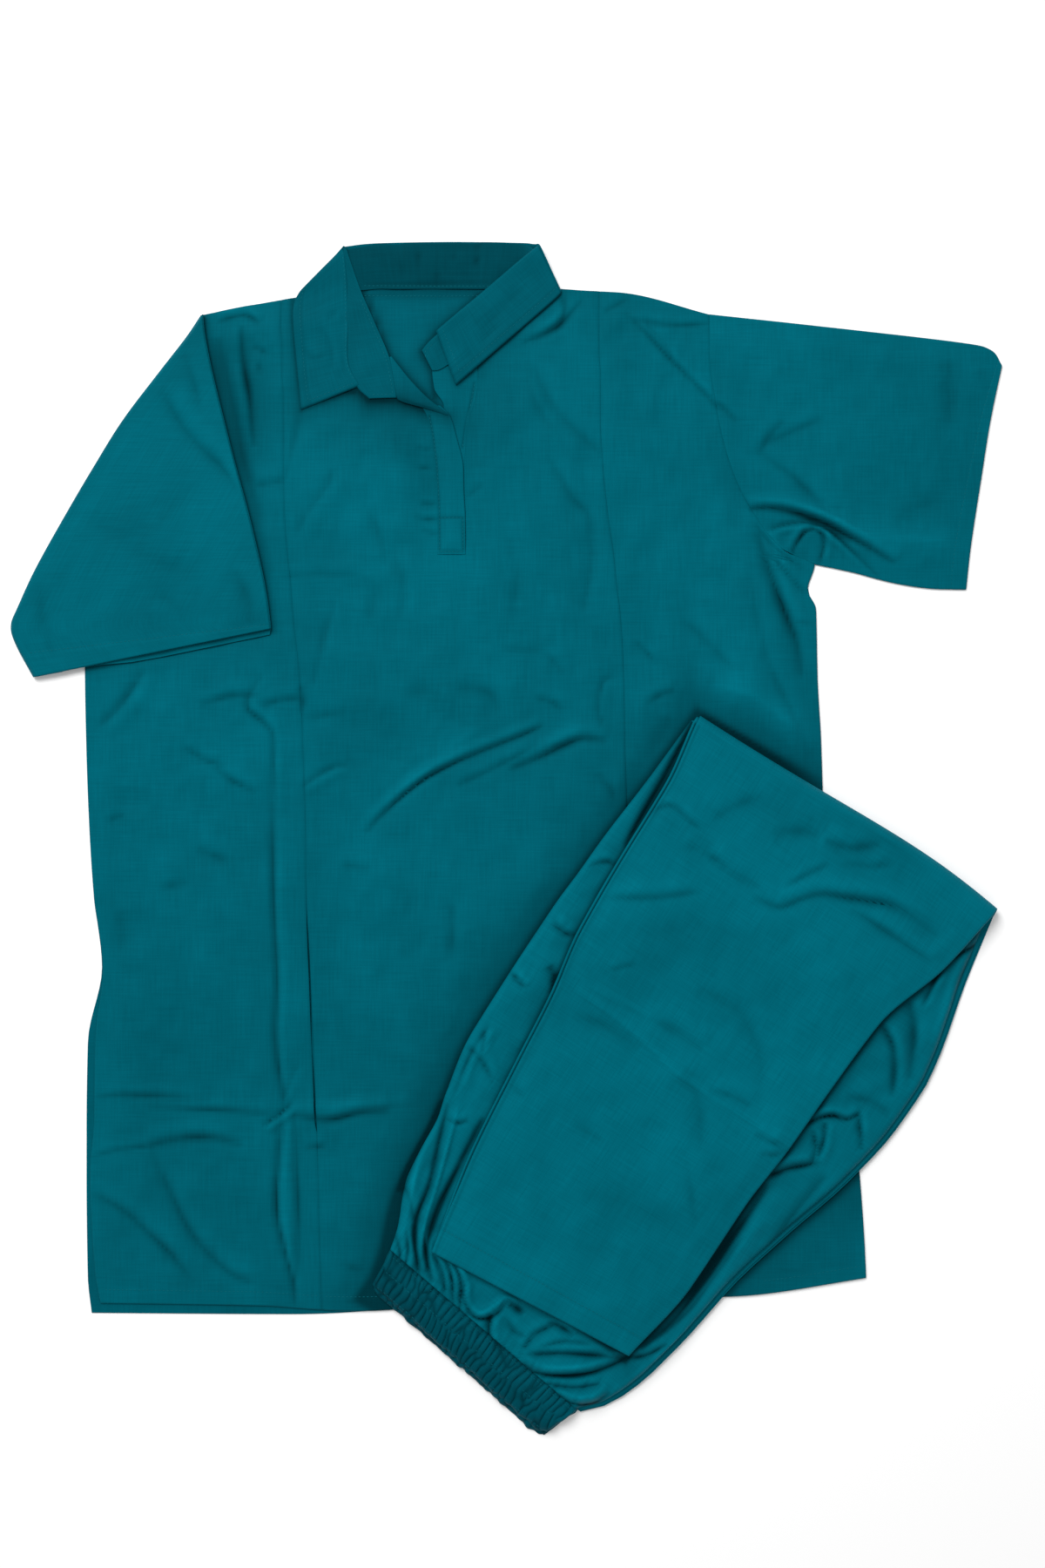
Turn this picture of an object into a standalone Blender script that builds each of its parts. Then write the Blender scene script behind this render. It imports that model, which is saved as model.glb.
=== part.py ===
"""Medical scrubs laid out on a flat surface: a collared tunic, front up, with its left-hand sleeve
folded over the body, and a pair of trousers, folded leg on leg and then at the knee, lying on it.

World frame: +Z up, the surface at Z = 0, +Y towards the collar, the origin under the middle of the
outfit. Tables are in millimetres; the objects are in metres.
"""

from collections import namedtuple
from math import cos, pi, radians, sin

import bmesh
import bpy
from mathutils import Vector

MM = 0.001

# Cloth and how its layers lie on each other
CLOTH = 1.0
GAP = 0.3
PLY = CLOTH + GAP
HALF = CLOTH / 2
HIDDEN_LAYERS = 2.5  # the two hidden layers of the inner trouser leg, as one solid wall
SEAM_GAP = 0.6  # across an armhole, whose edge runs at a slant

# Tunic levels, each the middle of a layer above the surface
BACK_LEVEL = HALF
FRONT_LEVEL = BACK_LEVEL + PLY
OVER_LEVEL = FRONT_LEVEL + PLY
TOP_LEVEL = OVER_LEVEL + PLY
TUNIC_TOP = FRONT_LEVEL + HALF

# Each row is a section across the tunic. hem_share is how much of the hem's slant it takes.
Section = namedtuple("Section", "y hem_share side_left princess_left princess_right side_right")
TUNIC = [
    Section(-356, 1.0, -313, -144, 104, 280),
    Section(-330, 0.9, -319, -145, 103, 279),
    Section(-256, 0.6, -322, -147, 101, 274),
    Section(-218, 0.45, -322, -148, 100, 271),
    Section(-155, 0.2, -321, -151, 98, 266),
    Section(-100, 0.0, -315, -153, 97, 259),
    Section(-45, 0.0, -322, -156, 96, 253),
    Section(18, 0.0, -326, -157, 94, 247),
    Section(75, 0.0, -328, -159, 92, 245),
    Section(132, 0.0, -329, -162, 91, 242),
    Section(180, 0.0, -327, -167, 88, 241),
    Section(195, 0.0, -326, -168, 86, 234.5),
    Section(215, 0.0, -325, -170, 84, 236),
    Section(224, 0.0, -303, -171, 83, 217),
    Section(252, 0.0, -280, -173, 79, 194),
    Section(290, 0.0, -262, -174, 75, 175),
    Section(327, 0.0, -250, -174, 73, 165),
    Section(345, 0.0, -246, -174, 73, 162),
    Section(363, 0.0, -243, -175, 73, 159),
    Section(378, 0.0, -241, -175, 72, 158),
    Section(402, 0.0, -239, -176, 72, 158),
]
HEM_LEVEL = -356
UNDERARM_ROW = 12
PLACKET_ROW = 13
POCKET_ROWS = (-155, -100)  # rows inside the pocket's mouth, in the left-hand princess seam
POCKET_GAPE = 1.0

# The back is cut longer than the front and shows past it at the lower left
BACK_SIDE_LEFT = {-356: -324, -330: -327, -256: -328, -218: -328, -155: -327, -100: -316}

Line = namedtuple("Line", "x y")
HEM = [Line(-330, -369), Line(-166, -370), Line(0, -360), Line(175, -356), Line(290, -340)]
FRONT_HEM_RISE = [Line(-330, 8), Line(-200, 7), Line(-90, 0), Line(290, 0)]
SHOULDER = [
    Line(-238, 409), Line(-198, 417), Line(-118, 428.5), Line(-60, 430.5),
    Line(28, 430), Line(64, 428), Line(90, 426.5), Line(158, 409.5),
]

# The front neckline and placket opening, section by section from the placket's foot upwards
Opening = namedtuple("Opening", "left right")
FRONT_OPENING = [
    Opening(-56, -31), Opening(-56.5, -31), Opening(-58, -32), Opening(-62, -27), Opening(-68, -23),
    Opening(-82, -23), Opening(-93, -28), Opening(-104, -2), Opening(-118, 28),
]

# Broad swells of the front where the cloth lies loose: a line, its half width and its height
Swell = namedtuple("Swell", "x0 y0 x1 y1 reach height")
SWELLS = [
    Swell(-171, 60, -168, -330, 22, 2.4),
    Swell(-100, 20, 35, 76, 34, 3.0),
    Swell(190, 225, 238, 205, 26, 3.2),
    Swell(-315, -205, -130, -210, 20, 1.6),
]

# The outstretched sleeve: its upper edge, its cuff and its underside
SLEEVE_TOP_EDGE = [Line(158, 409.5), Line(246, 400), Line(350, 388), Line(377, 382), Line(386, 370)]
SLEEVE_UNDERSIDE = [Line(236, 215), Line(268, 210), Line(296, 200), Line(324, 195), Line(358, 195)]

# The folded sleeve, from the shoulder to the cuff: its own upper edge, now lying on the body, the
# fold that it turns over on, and the armhole or underarm edge that it hides
Fold = namedtuple("Fold", "edge_x edge_y fold_x fold_y arm_x arm_y")
FOLDED_SLEEVE = [
    Fold(-237.5, 399, -251, 390, -242, 400),
    Fold(-235, 366, -272, 364, -246.5, 370),
    Fold(-224, 327, -300, 327, -253.5, 330),
    Fold(-213, 290, -323, 290, -266, 290),
    Fold(-203, 257, -342, 256, -282, 257),
    Fold(-193, 213, -364, 213, -332, 222),
    Fold(-187, 184, -384, 177, -350, 190),
    Fold(-185.5, 170, -381, 153, -357, 160),
    Fold(-185, 165, -368, 127, -346, 131),
]

# Collar, from the left-hand front end round the back of the neck to the right-hand front end
Band = namedtuple("Band", "neck_x neck_y crest_x crest_y level rise")
COLLAR_STAND = [
    Band(-86.5, 344.5, -107, 343.5, OVER_LEVEL, 0.0),
    Band(-87.5, 352, -116, 351, OVER_LEVEL, 0.0),
    Band(-92.5, 377, -125.2, 372, OVER_LEVEL, 1.5),
    Band(-103, 402, -125.5, 400, OVER_LEVEL, 2.5),
    Band(-115, 428, -125.7, 438, OVER_LEVEL, 2.5),
    Band(-112, 430, -119, 462, OVER_LEVEL, 2.5),
    Band(-96, 429.5, -100, 464, FRONT_LEVEL, 2.5),
    Band(-44, 429.5, -44, 465, FRONT_LEVEL, 2.5),
    Band(6, 429.5, 8, 464, FRONT_LEVEL, 0.8),
    Band(26, 432, 20, 456, OVER_LEVEL, 0.0),
    Band(18, 421, -4, 435, OVER_LEVEL, 0.0),
    Band(-20, 388, -38, 406, OVER_LEVEL, 0.0),
    Band(-47, 367, -57, 389, OVER_LEVEL, 0.0),
    Band(-57, 366, -64, 380, OVER_LEVEL, 0.0),
]
# The falling part of the collar. level is the layer that it lies on at that station.
Fall = namedtuple("Fall", "crest_x crest_y free_x free_y level")
COLLAR_FALL_LEFT = [
    Fall(-118, 353, -160, 335, OVER_LEVEL),
    Fall(-126.2, 372, -160.7, 362, OVER_LEVEL),
    Fall(-126.4, 400, -162, 395, OVER_LEVEL),
    Fall(-126.6, 438, -163, 418, OVER_LEVEL),
    Fall(-127.5, 458.5, -162, 424, OVER_LEVEL),
]
COLLAR_FALL_BACK = [
    Fall(-122, 462.5, -148, 434, BACK_LEVEL),
    Fall(-100, 464.5, -100, 434, BACK_LEVEL),
    Fall(-44, 465.5, -44, 434, BACK_LEVEL),
    Fall(8, 464.8, 8, 434, BACK_LEVEL),
    Fall(20, 463.5, 32, 434, BACK_LEVEL),
]
COLLAR_FALL_RIGHT = [
    Fall(21, 459, 37, 424, TOP_LEVEL),
    Fall(-4, 437.5, 24, 411, TOP_LEVEL),
    Fall(-30, 414.5, -8, 382, TOP_LEVEL),
    Fall(-54, 393, -39, 354, TOP_LEVEL),
]

# Placket strips, from the foot upwards
Strip = namedtuple("Strip", "y left right")
PLACKET_UNDER = [
    Strip(225, -54, -31.6), Strip(252, -54, -31.6), Strip(290, -55, -32.6), Strip(327, -50, -27.6),
    Strip(338, -48, -25), Strip(352, -56, -23.6), Strip(364, -57, -23.8),
]
PLACKET_OVER = [
    Strip(222, -58, -32), Strip(252, -58.5, -32.5), Strip(290, -60, -35), Strip(312, -62, -39),
    Strip(330, -65, -43),
]
TURNBACK = [Strip(332, -53, -46), Strip(338, -70, -56), Strip(343.5, -85, -64),
            Strip(360, -88, -79), Strip(374, -91, -89.5)]

# Trousers: a frame of their own on the knee fold, turned about Z. along runs down from the fold.
TROUSERS_ORIGIN = Vector((265.3, 20.8))
TROUSERS_TURN = radians(-33)
ACROSS = Vector((cos(TROUSERS_TURN), sin(TROUSERS_TURN)))
DOWN = Vector((sin(TROUSERS_TURN), -cos(TROUSERS_TURN)))
Leg = namedtuple("Leg", "along slant left right")
CALF = [  # slant is how much further down the left edge lies
    Leg(448, 16, -85, 88), Leg(375, 8, -102, 99.5), Leg(300, 4, -111, 100.5), Leg(245, 0, -117, 105),
    Leg(190, 0, -126, 107), Leg(125, 0, -129.5, 111), Leg(60, 0, -131, 130), Leg(6, 0, -139, 139),
]
THIGH = [
    Leg(6, 0, -141, 140), Leg(60, 0, -144, 150), Leg(125, 0, -149, 165), Leg(150, 0, -150, 168),
    Leg(185, 0, -152, 167), Leg(240, 0, -152.6, 158), Leg(300, 0, -152, 141),
    Leg(360, -6, -144, 126), Leg(415, -13, -138, 118), Leg(455, -19, -125, 109),
    Leg(487, -23, -117, 96), Leg(505, -25, -113, 80),
]
WAIST = [Leg(507, -25, -113, 77), Leg(520, -25, -111, 71), Leg(536, -25, -110, 66)]
KNEE_BEND_STEPS = 6
KNEE_BULGE = 5.5  # the fold swings out past a straight line towards its right-hand end
KNEE_BULGE_REACH = 60.0
KNEE_CENTRE = CALF[-1].along

# Trouser layers from the surface up: the middle of the thigh's layer and of the calf's
TROUSERS_LEVEL = TUNIC_TOP + GAP
OUTER_BACK_THIGH = TROUSERS_LEVEL + GAP + HALF
OUTER_FRONT_THIGH = OUTER_BACK_THIGH + PLY
INNER_THIGH = OUTER_FRONT_THIGH + HALF + GAP + HIDDEN_LAYERS / 2
INNER_CALF = INNER_THIGH + HIDDEN_LAYERS + 2 * GAP
OUTER_FRONT_CALF = INNER_CALF + HIDDEN_LAYERS / 2 + GAP + HALF
OUTER_BACK_CALF = OUTER_FRONT_CALF + PLY
SETTLE_START = 50.0  # the trousers come down to the surface this far outside the tunic
SETTLE_END = 115.0

COLUMN_PITCH = 62.0
SHARP_ANGLE = radians(35)
LEAST_MITRE = 0.5

TEAL = (0.0, 0.122, 0.166)
DEEP_TEAL = (0.0, 0.082, 0.112)


def along_line(line, x):
    """The height of a broken line, given as (x, y) rows, above x."""
    if x <= line[0].x:
        return line[0].y
    for first, last in zip(line, line[1:]):
        if x <= last.x:
            return first.y + (last.y - first.y) * (x - first.x) / (last.x - first.x)
    return line[-1].y


def smooth(t):
    t = min(max(t, 0.0), 1.0)
    return t * t * (3 - 2 * t)


def mix(a, b, t):
    return a + (b - a) * t


# ---------------------------------------------------------------- cloth walls


def cloth_wall(name, grid, colour, thickness=CLOTH, skip=()):
    """One piece of cloth as a closed wall. grid[i][j] is its middle surface in millimetres: it may
    bend and fold along i, and lies straight along j. skip lists the cells (i, j) to leave open."""
    rows, columns = len(grid), len(grid[0])
    bm = bmesh.new()
    bmesh.ops.create_grid(bm, x_segments=rows - 1, y_segments=columns - 1, size=1)
    row_of, column_of = bm.verts.layers.int.new("row"), bm.verts.layers.int.new("column")
    for vert in bm.verts:
        vert[row_of] = round((vert.co.x + 1) / 2 * (rows - 1))
        vert[column_of] = round((vert.co.y + 1) / 2 * (columns - 1))
    if skip:
        opened = [f for f in bm.faces
                  if (min(v[row_of] for v in f.verts), min(v[column_of] for v in f.verts)) in skip]
        bmesh.ops.delete(bm, geom=opened, context="FACES")
    extruded = bmesh.ops.extrude_face_region(bm, geom=bm.faces[:])["geom"]
    upper = {item for item in extruded if isinstance(item, bmesh.types.BMVert)}
    for vert in bm.verts:
        i, j = vert[row_of], vert[column_of]
        side = 1 if vert in upper else -1
        vert.co = (grid[i][j] + wall_offset(grid, i, j) * side * thickness / 2) * MM
    bmesh.ops.recalc_face_normals(bm, faces=bm.faces[:])
    if bm.calc_volume(signed=True) < 0:
        bmesh.ops.reverse_faces(bm, faces=bm.faces[:])
    mesh = bpy.data.meshes.new(name)
    bm.to_mesh(mesh)
    bm.free()
    mesh.shade_smooth()
    mesh.set_sharp_from_angle(angle=SHARP_ANGLE)
    mesh.materials.append(fabric(name, colour))
    piece = bpy.data.objects.new(name, mesh)
    bpy.context.collection.objects.link(piece)
    return piece


def wall_offset(grid, i, j):
    """The mitred normal of the middle surface at (i, j), for a wall of half thickness 1."""
    row = grid[i]
    across = row[min(j + 1, len(row) - 1)] - row[max(j - 1, 0)]
    normals = []
    for first, last in ((i - 1, i), (i, i + 1)):
        if first >= 0 and last < len(grid):
            normals.append((grid[last][j] - grid[first][j]).cross(across).normalized())
    middle = sum(normals, Vector()).normalized()
    return middle / max(middle.dot(normals[0]), LEAST_MITRE)


def fabric(name, colour):
    material = bpy.data.materials.new(name)
    material.use_nodes = True
    shader = material.node_tree.nodes["Principled BSDF"]
    shader.inputs["Base Color"].default_value = (*colour, 1)
    shader.inputs["Roughness"].default_value = 0.7
    shader.inputs["Metallic"].default_value = 0.0
    return material


# ---------------------------------------------------------------- tunic


def swell_height(x, y):
    """How far the front stands up over its loose folds."""
    height = 0.0
    for swell in SWELLS:
        start, end = Vector((swell.x0, swell.y0)), Vector((swell.x1, swell.y1))
        run = end - start
        t = min(max((Vector((x, y)) - start).dot(run) / run.length_squared, 0.0), 1.0)
        distance = (Vector((x, y)) - (start + run * t)).length
        height = max(height, swell.height * smooth(1 - distance / swell.reach))
    return height


def hem_drop(x, front):
    return along_line(HEM, x) + (along_line(FRONT_HEM_RISE, x) if front else 0) - HEM_LEVEL


def tunic_point(section, x, level, front=True):
    y = section.y + section.hem_share * hem_drop(x, front)
    lift = swell_height(x, y) if front else 0.0
    return Vector((x, y, level + lift))


def shoulder_point(x, level):
    return Vector((x, along_line(SHOULDER, x), level))


def columns_between(left, right):
    """Shares of the way from one seam to the next, so that a column is about COLUMN_PITCH wide."""
    count = max(1, round(abs(right - left) / COLUMN_PITCH))
    return [k / count for k in range(count + 1)]


def pocket_edge(section):
    """The side panel's edge on the left-hand princess seam, drawn back along the pocket's mouth."""
    gape = POCKET_GAPE if section.y in POCKET_ROWS else 0.0
    return section.princess_left - GAP / 2 - gape


def body_panel(name, left, right, front, colour):
    """A tunic panel between two seams, each a function from a section to its x."""
    shares = columns_between(left(TUNIC[0]), right(TUNIC[0]))
    level = FRONT_LEVEL if front else BACK_LEVEL
    grid = []
    for section in TUNIC:
        a, b = left(section), right(section)
        grid.append([tunic_point(section, mix(a, b, t), level, front) for t in shares])
    a, b = left(TUNIC[-1]), right(TUNIC[-1])
    grid.append([shoulder_point(mix(a, b, t), level) for t in shares])
    return cloth_wall(name, grid, colour)


def centre_front():
    """The middle of the front, open from the placket's foot up to and round the neck."""
    side_shares = (0, 0.5, 1)
    grid, skip = [], set()
    for number, section in enumerate(TUNIC + [None]):
        base = section or TUNIC[-1]
        opening = FRONT_OPENING[max(number - PLACKET_ROW, 0)]
        left, right = base.princess_left + GAP / 2, base.princess_right - GAP / 2
        xs = [mix(left, opening.left, t) for t in side_shares]
        xs += [mix(opening.right, right, t) for t in side_shares]
        if section:
            grid.append([tunic_point(section, x, FRONT_LEVEL) for x in xs])
        else:
            grid.append([shoulder_point(x, FRONT_LEVEL) for x in xs])
        if number >= PLACKET_ROW:
            skip.add((number, len(side_shares) - 1))
    return cloth_wall("tunic_centre_front", grid, TEAL, skip=skip)


def armhole(side, level):
    """The armhole's edge from the underarm to the shoulder, just outside the body's panels."""
    out = SEAM_GAP if side == "side_right" else -SEAM_GAP
    points = [Vector((getattr(s, side) + out, s.y, level)) for s in TUNIC[UNDERARM_ROW:]]
    points.append(shoulder_point(getattr(TUNIC[-1], side), level) + Vector((out, 0, 0)))
    return points


def sleeve_right():
    """The outstretched sleeve: one piece, folded along its upper edge, seamed at the underarm."""
    stations = len(SLEEVE_TOP_EDGE)
    lower = armhole("side_right", BACK_LEVEL)
    shares = [k / (len(lower) - 1) for k in range(len(lower))]
    grid = []
    for share, at_armhole in zip(shares, lower):
        row = []
        for number in range(stations):
            top, under = SLEEVE_TOP_EDGE[number], SLEEVE_UNDERSIDE[number]
            straight = Vector((mix(under.x, top.x, share), mix(under.y, top.y, share), BACK_LEVEL))
            row.append(straight if number else at_armhole)
        grid.append(row)
    upper = [[p + Vector((0, 0, PLY)) for p in row] for row in grid]
    turn = [p + Vector((0.15, PLY / 2, PLY / 2)) for p in grid[-1]]
    return cloth_wall("tunic_sleeve_right", grid + [turn] + upper[::-1], TEAL)


def sleeve_left():
    """The folded sleeve: one piece, folded along its upper edge, then turned over on the body with
    a fold that runs from the shoulder to the corner of the cuff."""
    levels = [BACK_LEVEL, FRONT_LEVEL, OVER_LEVEL, TOP_LEVEL]
    outer_radius = (levels[3] - levels[0]) / 2
    inner_radius = PLY / 2
    middle = (levels[0] + levels[3]) / 2
    columns = []
    for row in FOLDED_SLEEVE:
        edge, fold = Vector((row.edge_x, row.edge_y)), Vector((row.fold_x, row.fold_y))
        arm = Vector((row.arm_x, row.arm_y))
        inward = (edge - fold).normalized()
        under = (arm - fold).normalized()

        def at(point, direction, distance, level):
            return Vector((*(point + direction * distance), level))

        path = [at(arm, under, 0, levels[0]), at(fold, under, outer_radius + 1, levels[0])]
        for step in range(1, 4):
            angle = -pi / 2 + pi * step / 4
            path.append(at(fold, inward, outer_radius * (1 - cos(angle)), middle + outer_radius * sin(angle)))
        width = (edge - fold).length
        path += [at(fold, inward, width * t, levels[3]) for t in (0.05, 0.35, 0.65)]
        path.append(at(edge, -inward, inner_radius, levels[3]))
        path.append(at(edge, inward, 0, (levels[2] + levels[3]) / 2))
        path.append(at(edge, -inward, inner_radius, levels[2]))
        path += [at(fold, inward, width * t, levels[2]) for t in (0.65, 0.35)]
        path.append(at(fold, inward, outer_radius + 1, levels[2]))
        path.append(at(fold, inward, outer_radius + 1 - inner_radius, middle))
        path.append(at(fold, under, outer_radius + 1, levels[1]))
        path.append(at(arm, under, 0, levels[1]))
        columns.append(path)
    grid = [list(row) for row in zip(*columns)]
    return cloth_wall("tunic_sleeve_left", grid, TEAL)


def strip_piece(name, rows, level, colour):
    grid = []
    for row in rows:
        xs = (row.left, (row.left + row.right) / 2, row.right)
        grid.append([Vector((x, row.y, level)) for x in xs])
    return cloth_wall(name, grid, colour)


def collar_stand():
    """The band round the neck, whose crest stands up from its seam on the neckline."""
    grid = []
    for row in COLLAR_STAND:
        neck = Vector((row.neck_x, row.neck_y, row.level))
        crest = Vector((row.crest_x, row.crest_y, row.level))
        middle = neck.lerp(crest, 0.5) + Vector((0, 0, row.rise))
        grid.append([neck, middle, crest])
    return cloth_wall("tunic_collar_stand", grid, DEEP_TEAL)


def fall_station(row):
    crest = Vector((row.crest_x, row.crest_y, row.level))
    free = Vector((row.free_x, row.free_y, row.level))
    return [crest, crest.lerp(free, 0.5), free]


def fall_turn(before, after, outward):
    """The station in the fold where the collar passes from one level to the other."""
    return [p.lerp(q, 0.5) + outward for p, q in zip(before, after)]


def collar_fall():
    """The falling collar: its two points lie on the fronts, and it turns under at each shoulder."""
    left = [fall_station(row) for row in COLLAR_FALL_LEFT]
    back = [fall_station(row) for row in COLLAR_FALL_BACK]
    right = [fall_station(row) for row in COLLAR_FALL_RIGHT]
    left_turn = fall_turn(left[-1], back[0], Vector((-3.5, 1, 0)))
    right_turn = fall_turn(back[-1], right[0], Vector((3.5, 1, 0)))
    grid = left + [left_turn] + back + [right_turn] + right
    return cloth_wall("tunic_collar_fall", grid, TEAL)


def tunic():
    body_panel("tunic_back", lambda s: BACK_SIDE_LEFT.get(s.y, s.side_left), lambda s: s.side_right,
               False, TEAL)
    body_panel("tunic_side_front_left", lambda s: s.side_left, pocket_edge, True, TEAL)
    centre_front()
    body_panel("tunic_side_front_right", lambda s: s.princess_right + GAP / 2, lambda s: s.side_right,
               True, TEAL)
    sleeve_right()
    sleeve_left()
    strip_piece("tunic_placket_under", PLACKET_UNDER, FRONT_LEVEL, TEAL)
    strip_piece("tunic_placket_over", PLACKET_OVER, OVER_LEVEL, TEAL)
    strip_piece("tunic_front_turnback", TURNBACK, OVER_LEVEL, TEAL)
    collar_stand()
    collar_fall()


# ---------------------------------------------------------------- trousers


def settle(x, y):
    """How far the trousers come down towards the surface, beyond the tunic's edge."""
    side = [Line(s.y, s.side_right) for s in TUNIC[:UNDERARM_ROW]]
    outside = max(x - along_line(side, y), along_line(HEM, x) - y)
    return -TROUSERS_LEVEL * smooth((outside - SETTLE_START) / (SETTLE_END - SETTLE_START))


def trouser_point(across, along, level):
    flat = TROUSERS_ORIGIN + ACROSS * across + DOWN * along
    return Vector((flat.x, flat.y, level + settle(flat.x, flat.y)))


def leg_row(leg, level, inset, shares):
    row = []
    for t in shares:
        across = mix(leg.left + inset, leg.right - inset, t)
        swing = KNEE_BULGE * sin(pi * t * t) * smooth(1 - leg.along / KNEE_BULGE_REACH)
        row.append(trouser_point(across, leg.along + leg.slant * (1 - t) - swing, level))
    return row


def leg_wall(name, thigh_level, calf_level, inset, thickness, colour, top=0.0):
    """A layer of a leg: the thigh lies below, and the calf comes back over it round the knee."""
    shares = [k / 6 for k in range(7)]
    radius = (calf_level - thigh_level) / 2
    centre = (calf_level + thigh_level) / 2
    grid = [leg_row(leg, thigh_level, inset, shares) for leg in reversed(THIGH)]
    for step in range(1, KNEE_BEND_STEPS):
        angle = -pi / 2 + pi * step / KNEE_BEND_STEPS
        share = step / KNEE_BEND_STEPS
        left = mix(THIGH[0].left, CALF[-1].left, share)
        right = mix(THIGH[0].right, CALF[-1].right, share)
        bend = Leg(KNEE_CENTRE - radius * cos(angle), 0, left, right)
        grid.append(leg_row(bend, centre + radius * sin(angle), inset, shares))
    calf = [leg._replace(along=leg.along - top) if leg is CALF[0] else leg for leg in CALF]
    grid += [leg_row(leg, calf_level, inset, shares) for leg in reversed(calf)]
    return cloth_wall(name, grid, colour, thickness)


def waistband(name, level, thickness):
    shares = [k / 8 for k in range(9)]
    grid = [leg_row(leg, level, 1.0, shares) for leg in WAIST]
    return cloth_wall(name, grid, DEEP_TEAL, thickness)


def trousers():
    leg_wall("trousers_outer_leg_back", OUTER_BACK_THIGH, OUTER_BACK_CALF, 0.0, CLOTH, TEAL)
    leg_wall("trousers_outer_leg_front", OUTER_FRONT_THIGH, OUTER_FRONT_CALF, 3.0, CLOTH, TEAL, top=3)
    leg_wall("trousers_inner_leg", INNER_THIGH, INNER_CALF, 6.0, HIDDEN_LAYERS, TEAL, top=6)
    waistband("trousers_waistband_lower", (OUTER_BACK_THIGH + OUTER_FRONT_THIGH) / 2, CLOTH + PLY)
    waistband("trousers_waistband_upper", INNER_THIGH, HIDDEN_LAYERS)


for old in list(bpy.data.objects):
    bpy.data.objects.remove(old, do_unlink=True)
tunic()
trousers()
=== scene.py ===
"""Looks of a medical scrubs set laid flat: a collared tunic and a pair of folded trousers.

Tables and sizes are in millimetres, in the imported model's own frame; meshes are in metres.
"""

from collections import namedtuple
from math import pi, radians, sqrt

import bmesh
import bpy
import numpy as np
from mathutils import Matrix, Vector
from mathutils.bvhtree import BVHTree


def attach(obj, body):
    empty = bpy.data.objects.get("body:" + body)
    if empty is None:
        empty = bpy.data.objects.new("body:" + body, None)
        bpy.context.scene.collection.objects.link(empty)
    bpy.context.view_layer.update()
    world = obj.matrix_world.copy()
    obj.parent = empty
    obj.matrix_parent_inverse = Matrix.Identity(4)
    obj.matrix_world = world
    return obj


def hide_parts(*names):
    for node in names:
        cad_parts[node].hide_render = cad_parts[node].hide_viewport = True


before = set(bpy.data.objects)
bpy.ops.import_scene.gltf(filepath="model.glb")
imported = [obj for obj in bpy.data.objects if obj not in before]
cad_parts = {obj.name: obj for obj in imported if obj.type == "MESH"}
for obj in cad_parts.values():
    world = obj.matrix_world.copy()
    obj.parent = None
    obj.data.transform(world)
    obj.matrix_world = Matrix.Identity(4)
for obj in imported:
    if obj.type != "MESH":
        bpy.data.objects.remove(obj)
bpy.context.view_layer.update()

MM = 0.001

# ---------------------------------------------------------------- cloth and its layers

CLOTH = 0.8
PLY = 1.3
BACK_LEVEL = 0.5
FRONT_LEVEL = BACK_LEVEL + PLY
LOWEST = 0.5  # as near the ground as the middle of a cloth comes
LOWEST_FRONT = FRONT_LEVEL - 0.55  # as far as the front sinks at its seams and edges
OVER = PLY  # how far what lies on the front stands above it
LOFT = 2.1  # how far the front lies above the back, away from its seams
SLEEVE_TOP = 6.4
THIGH_BOTTOM = 3.4
THIGH_TOP = 10.4
CALF_UNDER = 15.0
CALF_TOP = 17.6
TOP_ROW = 430.0  # rows are places up the tunic, as y would be if its hem and shoulders were level
SIDE_TOP = 402.0  # the row where the sides and the seams end
SLOPE_START = 385.0  # the row above which the shoulders' slope is made up
HEM_ROW = -356.0
UNDERARM_Y = 215.0
NECK_LOWEST = 300.0  # nothing of the inside shows below this y
PLACKET_FOOT = 222.0
EYE = (12.2, 43.5, 1700.0)  # where the camera stands

# ---------------------------------------------------------------- lines and curves


def smooth(t):
    """From 0 to 1 as t goes from 0 to 1, level at both ends."""
    t = np.clip(t, 0.0, 1.0)
    return t * t * (3 - 2 * t)


def mix(a, b, t):
    return a + (b - a) * t


def bell(distance, width):
    """1 at a line, dying away on both sides of it within about this width."""
    return np.exp(-((distance / width) ** 2))


def above_zero(height, softness):
    """The height, eased so that it never goes below zero."""
    return 0.5 * (height + np.sqrt(height**2 + softness))


def soft_line(xs, ys):
    """A smooth line through the points that never swings past them."""
    xs, ys = np.array(xs, float), np.array(ys, float)
    steps = np.diff(xs)
    rises = np.diff(ys) / steps
    slopes = np.zeros(len(xs))
    product = rises[:-1] * rises[1:]
    slopes[1:-1] = np.where(product > 0, 2 * product / (rises[:-1] + rises[1:] + 1e-9), 0)
    slopes[0], slopes[-1] = rises[0], rises[-1]

    def at(x):
        x = np.clip(x, xs[0], xs[-1])
        k = np.clip(np.searchsorted(xs, x) - 1, 0, len(steps) - 1)
        t = (x - xs[k]) / steps[k]
        start, end = slopes[k] * steps[k], slopes[k + 1] * steps[k]
        value = ((2 * t - 3) * t * t + 1) * ys[k] + ((t - 2) * t + 1) * t * start
        return value + (3 - 2 * t) * t * t * ys[k + 1] + (t - 1) * t * t * end

    return at


def column(rows, name):
    """One named column of a table, as a smooth line over its first column."""
    pairs = sorted((row[0], getattr(row, name)) for row in rows)
    return soft_line([p[0] for p in pairs], [p[1] for p in pairs])


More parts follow.
